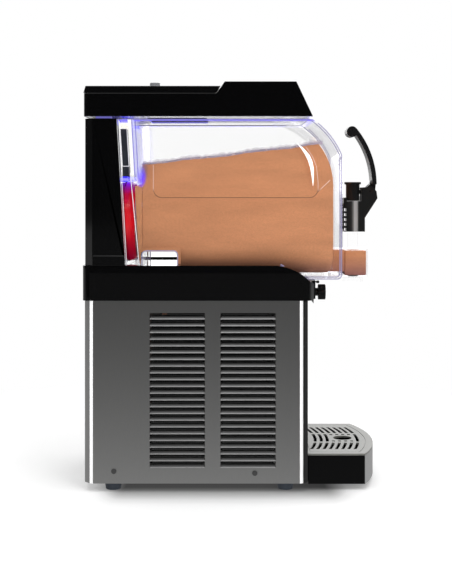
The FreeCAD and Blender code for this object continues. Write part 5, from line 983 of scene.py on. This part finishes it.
def foam_films(sizes):
    """The foam left on both sides of the tub just above the drink."""
    for side, x in (("left", -1), ("right", 1)):
        inner, outer = x * 0.09052, x * 0.09068
        rows = []
        for i in range(61):
            y = -0.147 + 0.3 * i / 60
            top = drink_surface(x * 0.09, y, sizes)
            tall = 0.0062 + 0.0007 * math.sin(2.3 * i) + 0.0008 * math.sin(0.61 * i)
            rows.append([(inner, y, top - 0.001), (outer, y, top - 0.001),
                         (outer, y, top + tall), (inner, y, top + tall)])
        mesh = vertex_grid("foam film", rows)
        film = mesh.attributes.new("film", "FLOAT", "POINT")
        film.data.foreach_set("value", [0.8, 0.8, 0.0, 0.0] * len(rows))
        new_piece("foam film " + side, mesh, "foam film", "bowl")


class MILKSHAKE_OT_drink(bpy.types.Operator):
    """The milkshake in the tub and in the outlet block, with foam along its surface"""
    bl_idname = "milkshake.drink"
    bl_label = "Drink"

    def execute(self, context):
        sizes = context.scene.milkshake_sizes
        axis_z = sum(end.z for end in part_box("auger")) / 2
        bore = cylinder_mesh("room for the auger", 0.0542, (0, -0.1405, axis_z),
                             (0, 0.17, axis_z), 96)
        drink = new_piece("milkshake", carve(drink_mesh(sizes), bore), "milkshake", "bowl")
        smooth_by_angle(drink.data, 40)
        new_piece("foam bubbles", foam_mesh(sizes), "milk foam", "bowl")
        foam_films(sizes)
        a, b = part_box("spigot")
        wall = 0.0032
        chamber = box_mesh("outlet drink", (a.x + wall, a.y + wall, 0.3452),
                           (b.x - wall, -0.1903, b.z - wall))
        round_corner(chamber, lambda v: True, 0.0022)
        axis_y = sum(end.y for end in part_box("tap_piston")) / 2
        room = cylinder_mesh("room for the piston", 0.0093, (0, axis_y, 0.33), (0, axis_y, 0.4), 48)
        new_piece("milkshake in the outlet", carve(chamber, room), "milkshake", "bowl")
        passage = box_mesh("passage drink", (-0.0237, -0.1902, 0.3518), (0.0237, -0.1652, 0.3885))
        new_piece("milkshake in the passage", passage, "milkshake", "bowl")
        return {"FINISHED"}


# Working parts

class MILKSHAKE_OT_chiller(PieceGroup, bpy.types.Operator):
    """The cold drum on its bulkhead, the auger and its shaft"""
    bl_idname = "milkshake.chiller"
    bl_label = "Drum and auger"
    rows = (("evaporator_drum drive_shaft", "polished steel", 0.2),
            ("auger auger_nut front_bush bulkhead", "white food plastic", 0.0),
            ("shaft_seal", "black rubber", 0.0))


class MILKSHAKE_OT_drive(PieceGroup, bpy.types.Operator):
    """Gearbox and motor in the column"""
    bl_idname = "milkshake.drive"
    bl_label = "Drive"
    rows = (("gearbox", "cast metal", 0.8), ("drive_motor", "motor black", 0.6),
            ("gearbox_posts", "polished steel", 0.0))


class MILKSHAKE_OT_tap(PieceGroup, bpy.types.Operator):
    """The tap's sleeve, head, piston, lever and pin"""
    bl_idname = "milkshake.tap"
    bl_label = "Tap"
    rows = (("tap_sleeve", "sleeve black", 0.5), ("tap_head", "satin black", 0.4),
            ("tap_lever", "satin black", 0.8), ("tap_piston", "clear plastic", 0.0),
            ("piston_seal", "black rubber", 0.0), ("lever_pin", "soft black", 0.0))


class MILKSHAKE_OT_clamp(PieceGroup, bpy.types.Operator):
    """The clamp bracket and its fluted knob under the bowl"""
    bl_idname = "milkshake.clamp"
    bl_label = "Clamp"
    rows = (("clamp_bracket", "satin black", 0.3), ("clamp_knob", "soft black", 0.3))


class MILKSHAKE_OT_tray(PieceGroup, bpy.types.Operator):
    """The drip tray and its slotted grille"""
    bl_idname = "milkshake.tray"
    bl_label = "Drip tray"
    rows = (("drip_tray", "tray black", 0.8), ("tray_fascia_plate", "satin grey front", 0.4),
            ("drip_grille", "light grey grille", 0.3))


def condenser():
    """A row of thin fins in a frame with a tube sheet."""
    a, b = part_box("condenser")
    thick, side, count = 0.005, 0.002, 67
    fin = box_mesh("fin", (0, 0, a.z + 0.004), (b.x - a.x, 0.0004, b.z - 0.004))
    fins = grow("condenser fins", fin, "Row of copies", Count=count, First=(a.x, a.y + side, 0),
                Step=(0, (b.y - a.y - 0.0044) / (count - 1), 0), Material=finish("fin metal"))
    new_piece("condenser fins", fins, "fin metal", "cabinet")
    bottom, top = a.z + thick, b.z - thick
    sheets = [box_mesh("plate", *ends) for ends in (
        (a, (b.x, b.y, bottom)), ((a.x, a.y, top), b),
        ((a.x, a.y, bottom), (b.x, a.y + side, top)), ((a.x, b.y - side, bottom), (b.x, b.y, top)),
        ((a.x + 0.021, a.y + side, bottom), (a.x + 0.024, b.y - side, top)))]
    mesh = written(work_on(*sheets), "condenser frame")
    new_piece("condenser frame", mesh, "fin metal", node="condenser")


class MILKSHAKE_OT_cooling(bpy.types.Operator):
    """Compressor, condenser, fan and pipes in the cabinet"""
    bl_idname = "milkshake.cooling"
    bl_label = "Cooling set"

    def execute(self, context):
        dress_all(("compressor", "motor black", 0.6), ("compressor_mounts", "black rubber", 0.4))
        condenser()
        dress_all(("fan_shroud", "satin black", 0.0), ("fan", "soft black", 0.2),
                  ("fan_motor", "motor black", 0.4),
                  ("filter_drier suction_pipe discharge_pipe liquid_pipe", "copper", 0.0))
        return {"FINISHED"}


class MILKSHAKE_OT_electrics(PieceGroup, bpy.types.Operator):
    """Control board, mains inlet and rocker switch"""
    bl_idname = "milkshake.electrics"
    bl_label = "Electrics"
    rows = (("control_board", "board green", 0.0), ("board_posts", "white food plastic", 0.0),
            ("mains_inlet switch_frame", "satin black", 0.3), ("power_rocker", "soft black", 0.3))


# Stage

def backdrop_world():
    """White to the camera and through glass, a dark room behind the camera in gloss and metal."""
    world = bpy.data.worlds.new("Studio")
    world.use_nodes = True
    world.node_tree.nodes.clear()
    wiring = Wiring(world)
    ray = wiring.add("LightPath").outputs
    where = wiring.add("TexCoord").outputs["Generated"]
    across = wiring.add("SeparateXYZ", where).outputs["X"]
    dark_room = wiring.ramp(wiring.math("MULTIPLY_ADD", across, 0.5, 0.5), [
        (0.0, 0.03), (0.3, 0.05), (0.58, 0.06), (0.7, 0.3), (0.85, 1.0)])
    light = wiring.add("Background", Strength=0.62).outputs[0]
    mirrored = wiring.add("Background", dark_room).outputs[0]
    white = wiring.add("Background", (1, 1, 1, 1)).outputs[0]
    for rays, other in (("Is Glossy Ray", mirrored), ("Is Transmission Ray", white),
                        ("Is Camera Ray", white)):
        light = wiring.add("MixShader", ray[rays], light, other).outputs[0]
    wiring.add("OutputWorld", Surface=light)
    return world


def floor_material():
    """Pale floor: the machine's shadow near it from the lamps, deepened by a painted shadow, plain
    white further off, dimmer in reflections.
    """
    material = bpy.data.materials.new("pale floor")
    material.use_nodes = True
    material.node_tree.nodes.clear()
    wiring = Wiring(material)
    where = wiring.where()
    ray = wiring.add("LightPath").outputs
    seen = wiring.math("MAXIMUM", ray["Is Camera Ray"], ray["Is Transmission Ray"])
    plain = wiring.add("BsdfDiffuse", (0.82, 0.82, 0.82, 1)).outputs[0]
    glow = wiring.add("Emission", Strength=wiring.math("MULTIPLY", seen, 0.25))
    lit_floor = wiring.add("AddShader", plain, glow.outputs[0]).outputs[0]
    # A painted contact shadow around the machine's footprint.
    squeezed = wiring.vector("MULTIPLY_ADD", where, (1, 2.2, 1), (0, -0.033, 0))
    past = wiring.vector("SUBTRACT", wiring.vector("ABSOLUTE", squeezed), (0.1, 0.363, 0.0))
    gap = wiring.vector("LENGTH", wiring.vector("MAXIMUM", past, (0, 0, 0)))
    painted_contact_shadow = wiring.ramp(wiring.span(gap, 0.0, 0.12), [
        (0.0, 0.85), (0.23, 0.66), (0.45, 0.42), (0.65, 0.17), (0.95, 0.0)])
    shaded = wiring.add("MixShader", wiring.math("MULTIPLY", painted_contact_shadow, seen),
                        lit_floor).outputs[0]
    off = wiring.span(wiring.vector("LENGTH", where), 0.5, 0.95)
    white = wiring.add("Emission").outputs[0]
    direct = wiring.add("MixShader", wiring.math("MULTIPLY", off, seen), shaded, white)
    across = wiring.add("SeparateXYZ", where).outputs["X"]
    tone = wiring.ramp(wiring.span(across, -2.0, -0.1), [
        (0.0, 0.1), (0.4, 0.2), (0.8, 0.36), (1.0, 0.46)])
    mirrored = wiring.add("Emission", tone).outputs[0]
    surface = wiring.add("MixShader", ray["Is Glossy Ray"], direct.outputs[0], mirrored)
    wiring.add("OutputMaterial", Surface=surface.outputs[0])
    return material


def soft_lamp(name, place, aim_z, size, power, shiny):
    """A soft rectangular lamp that faces the machine, hidden from the camera."""
    lamp = bpy.data.lights.new(name, "AREA")
    lamp.shape = "RECTANGLE"
    lamp.size, lamp.size_y = size
    lamp.energy = power
    holder = bpy.data.objects.new(name, lamp)
    bpy.context.scene.collection.objects.link(holder)
    holder.location = place
    aim = Vector((0, 0, aim_z)) - Vector(place)
    holder.rotation_euler = aim.to_track_quat("-Z", "Y").to_euler()
    holder.visible_camera = False
    holder.visible_glossy = shiny
    return holder


def place_camera(scene):
    """A level camera at the machine's side, whose picture is shifted instead of tilted."""
    width, picture_height, focal_pixels, shift_pixels = 36.0, 584, 1143, 107
    view = bpy.data.cameras.new("camera")
    camera = bpy.data.objects.new("camera", view)
    scene.collection.objects.link(camera)
    camera.location = (-1.994, 0.014, 0.5009)
    camera.rotation_euler = (math.radians(90), 0, math.radians(-90))
    view.sensor_width = width
    view.lens = width * focal_pixels / picture_height
    view.shift_y = -shift_pixels / picture_height
    view.clip_start, view.clip_end = 0.05, 60
    scene.camera = camera


class MILKSHAKE_OT_stage(bpy.types.Operator):
    """Pale floor, soft studio lamps and the camera"""
    bl_idname = "milkshake.stage"
    bl_label = "Stage"

    def execute(self, context):
        scene = context.scene
        scene.view_settings.view_transform = "Standard"
        scene.world = backdrop_world()
        scene.cycles.transparent_max_bounces = 32
        size = 12.0
        floor_mesh = box_mesh("floor", (-size, -size, -0.02), (size, size, 0))
        floor = bpy.data.objects.new("floor", floor_mesh)
        floor_mesh.materials.append(floor_material())
        scene.collection.objects.link(floor)
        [soft_lamp(*lamp) for lamp in (
            ("top lamp", (-0.4, -0.2, 2.4), 0.3, (2.2, 2.6), 34, True),
            ("near lamp", (-2.4, -1.4, 1.5), 0.35, (1.4, 1.8), 22, False),
            ("rear lamp", (-1.2, 2.2, 1.4), 0.35, (1.0, 1.6), 12, False),
            ("far lamp", (2.2, -0.4, 1.3), 0.35, (1.6, 1.8), 14, True))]
        place_camera(scene)
        return {"FINISHED"}


class MILKSHAKE_PT_panel(bpy.types.Panel):
    """Lists the pieces of the machine"""
    bl_label = "Milkshake machine"
    bl_idname = "MILKSHAKE_PT_panel"
    bl_space_type = "VIEW_3D"
    bl_region_type = "UI"
    bl_category = "Milkshake"

    def draw(self, context):
        finish, sizes = context.scene.milkshake_finish, context.scene.milkshake_sizes
        for name in ("steel", "gloss", "satin", "drink", "light"):
            self.layout.prop(finish, name)
        for name in ("level", "fall", "bubbles", "edge"):
            self.layout.prop(sizes, name)
        for operator in OPERATORS:
            self.layout.operator(operator.bl_idname)


OPERATORS = (
    MILKSHAKE_OT_cabinet, MILKSHAKE_OT_deck, MILKSHAKE_OT_column, MILKSHAKE_OT_hood,
    MILKSHAKE_OT_bowl, MILKSHAKE_OT_drink, MILKSHAKE_OT_chiller, MILKSHAKE_OT_drive,
    MILKSHAKE_OT_tap, MILKSHAKE_OT_clamp, MILKSHAKE_OT_tray, MILKSHAKE_OT_cooling,
    MILKSHAKE_OT_electrics, MILKSHAKE_OT_stage)
CLASSES = (MilkshakeFinish, MilkshakeSizes, *OPERATORS, MILKSHAKE_PT_panel)


def register():
    for each in CLASSES:
        bpy.utils.register_class(each)
    bpy.types.Scene.milkshake_finish = PointerProperty(type=MilkshakeFinish)
    bpy.types.Scene.milkshake_sizes = PointerProperty(type=MilkshakeSizes)


def unregister():
    del bpy.types.Scene.milkshake_sizes
    del bpy.types.Scene.milkshake_finish
    for each in reversed(CLASSES):
        bpy.utils.unregister_class(each)


def main():
    """Make every piece in order."""
    register()
    for operator in OPERATORS:
        group, name = operator.bl_idname.split(".")
        getattr(getattr(bpy.ops, group), name)()


if __name__ == "__main__":
    main()
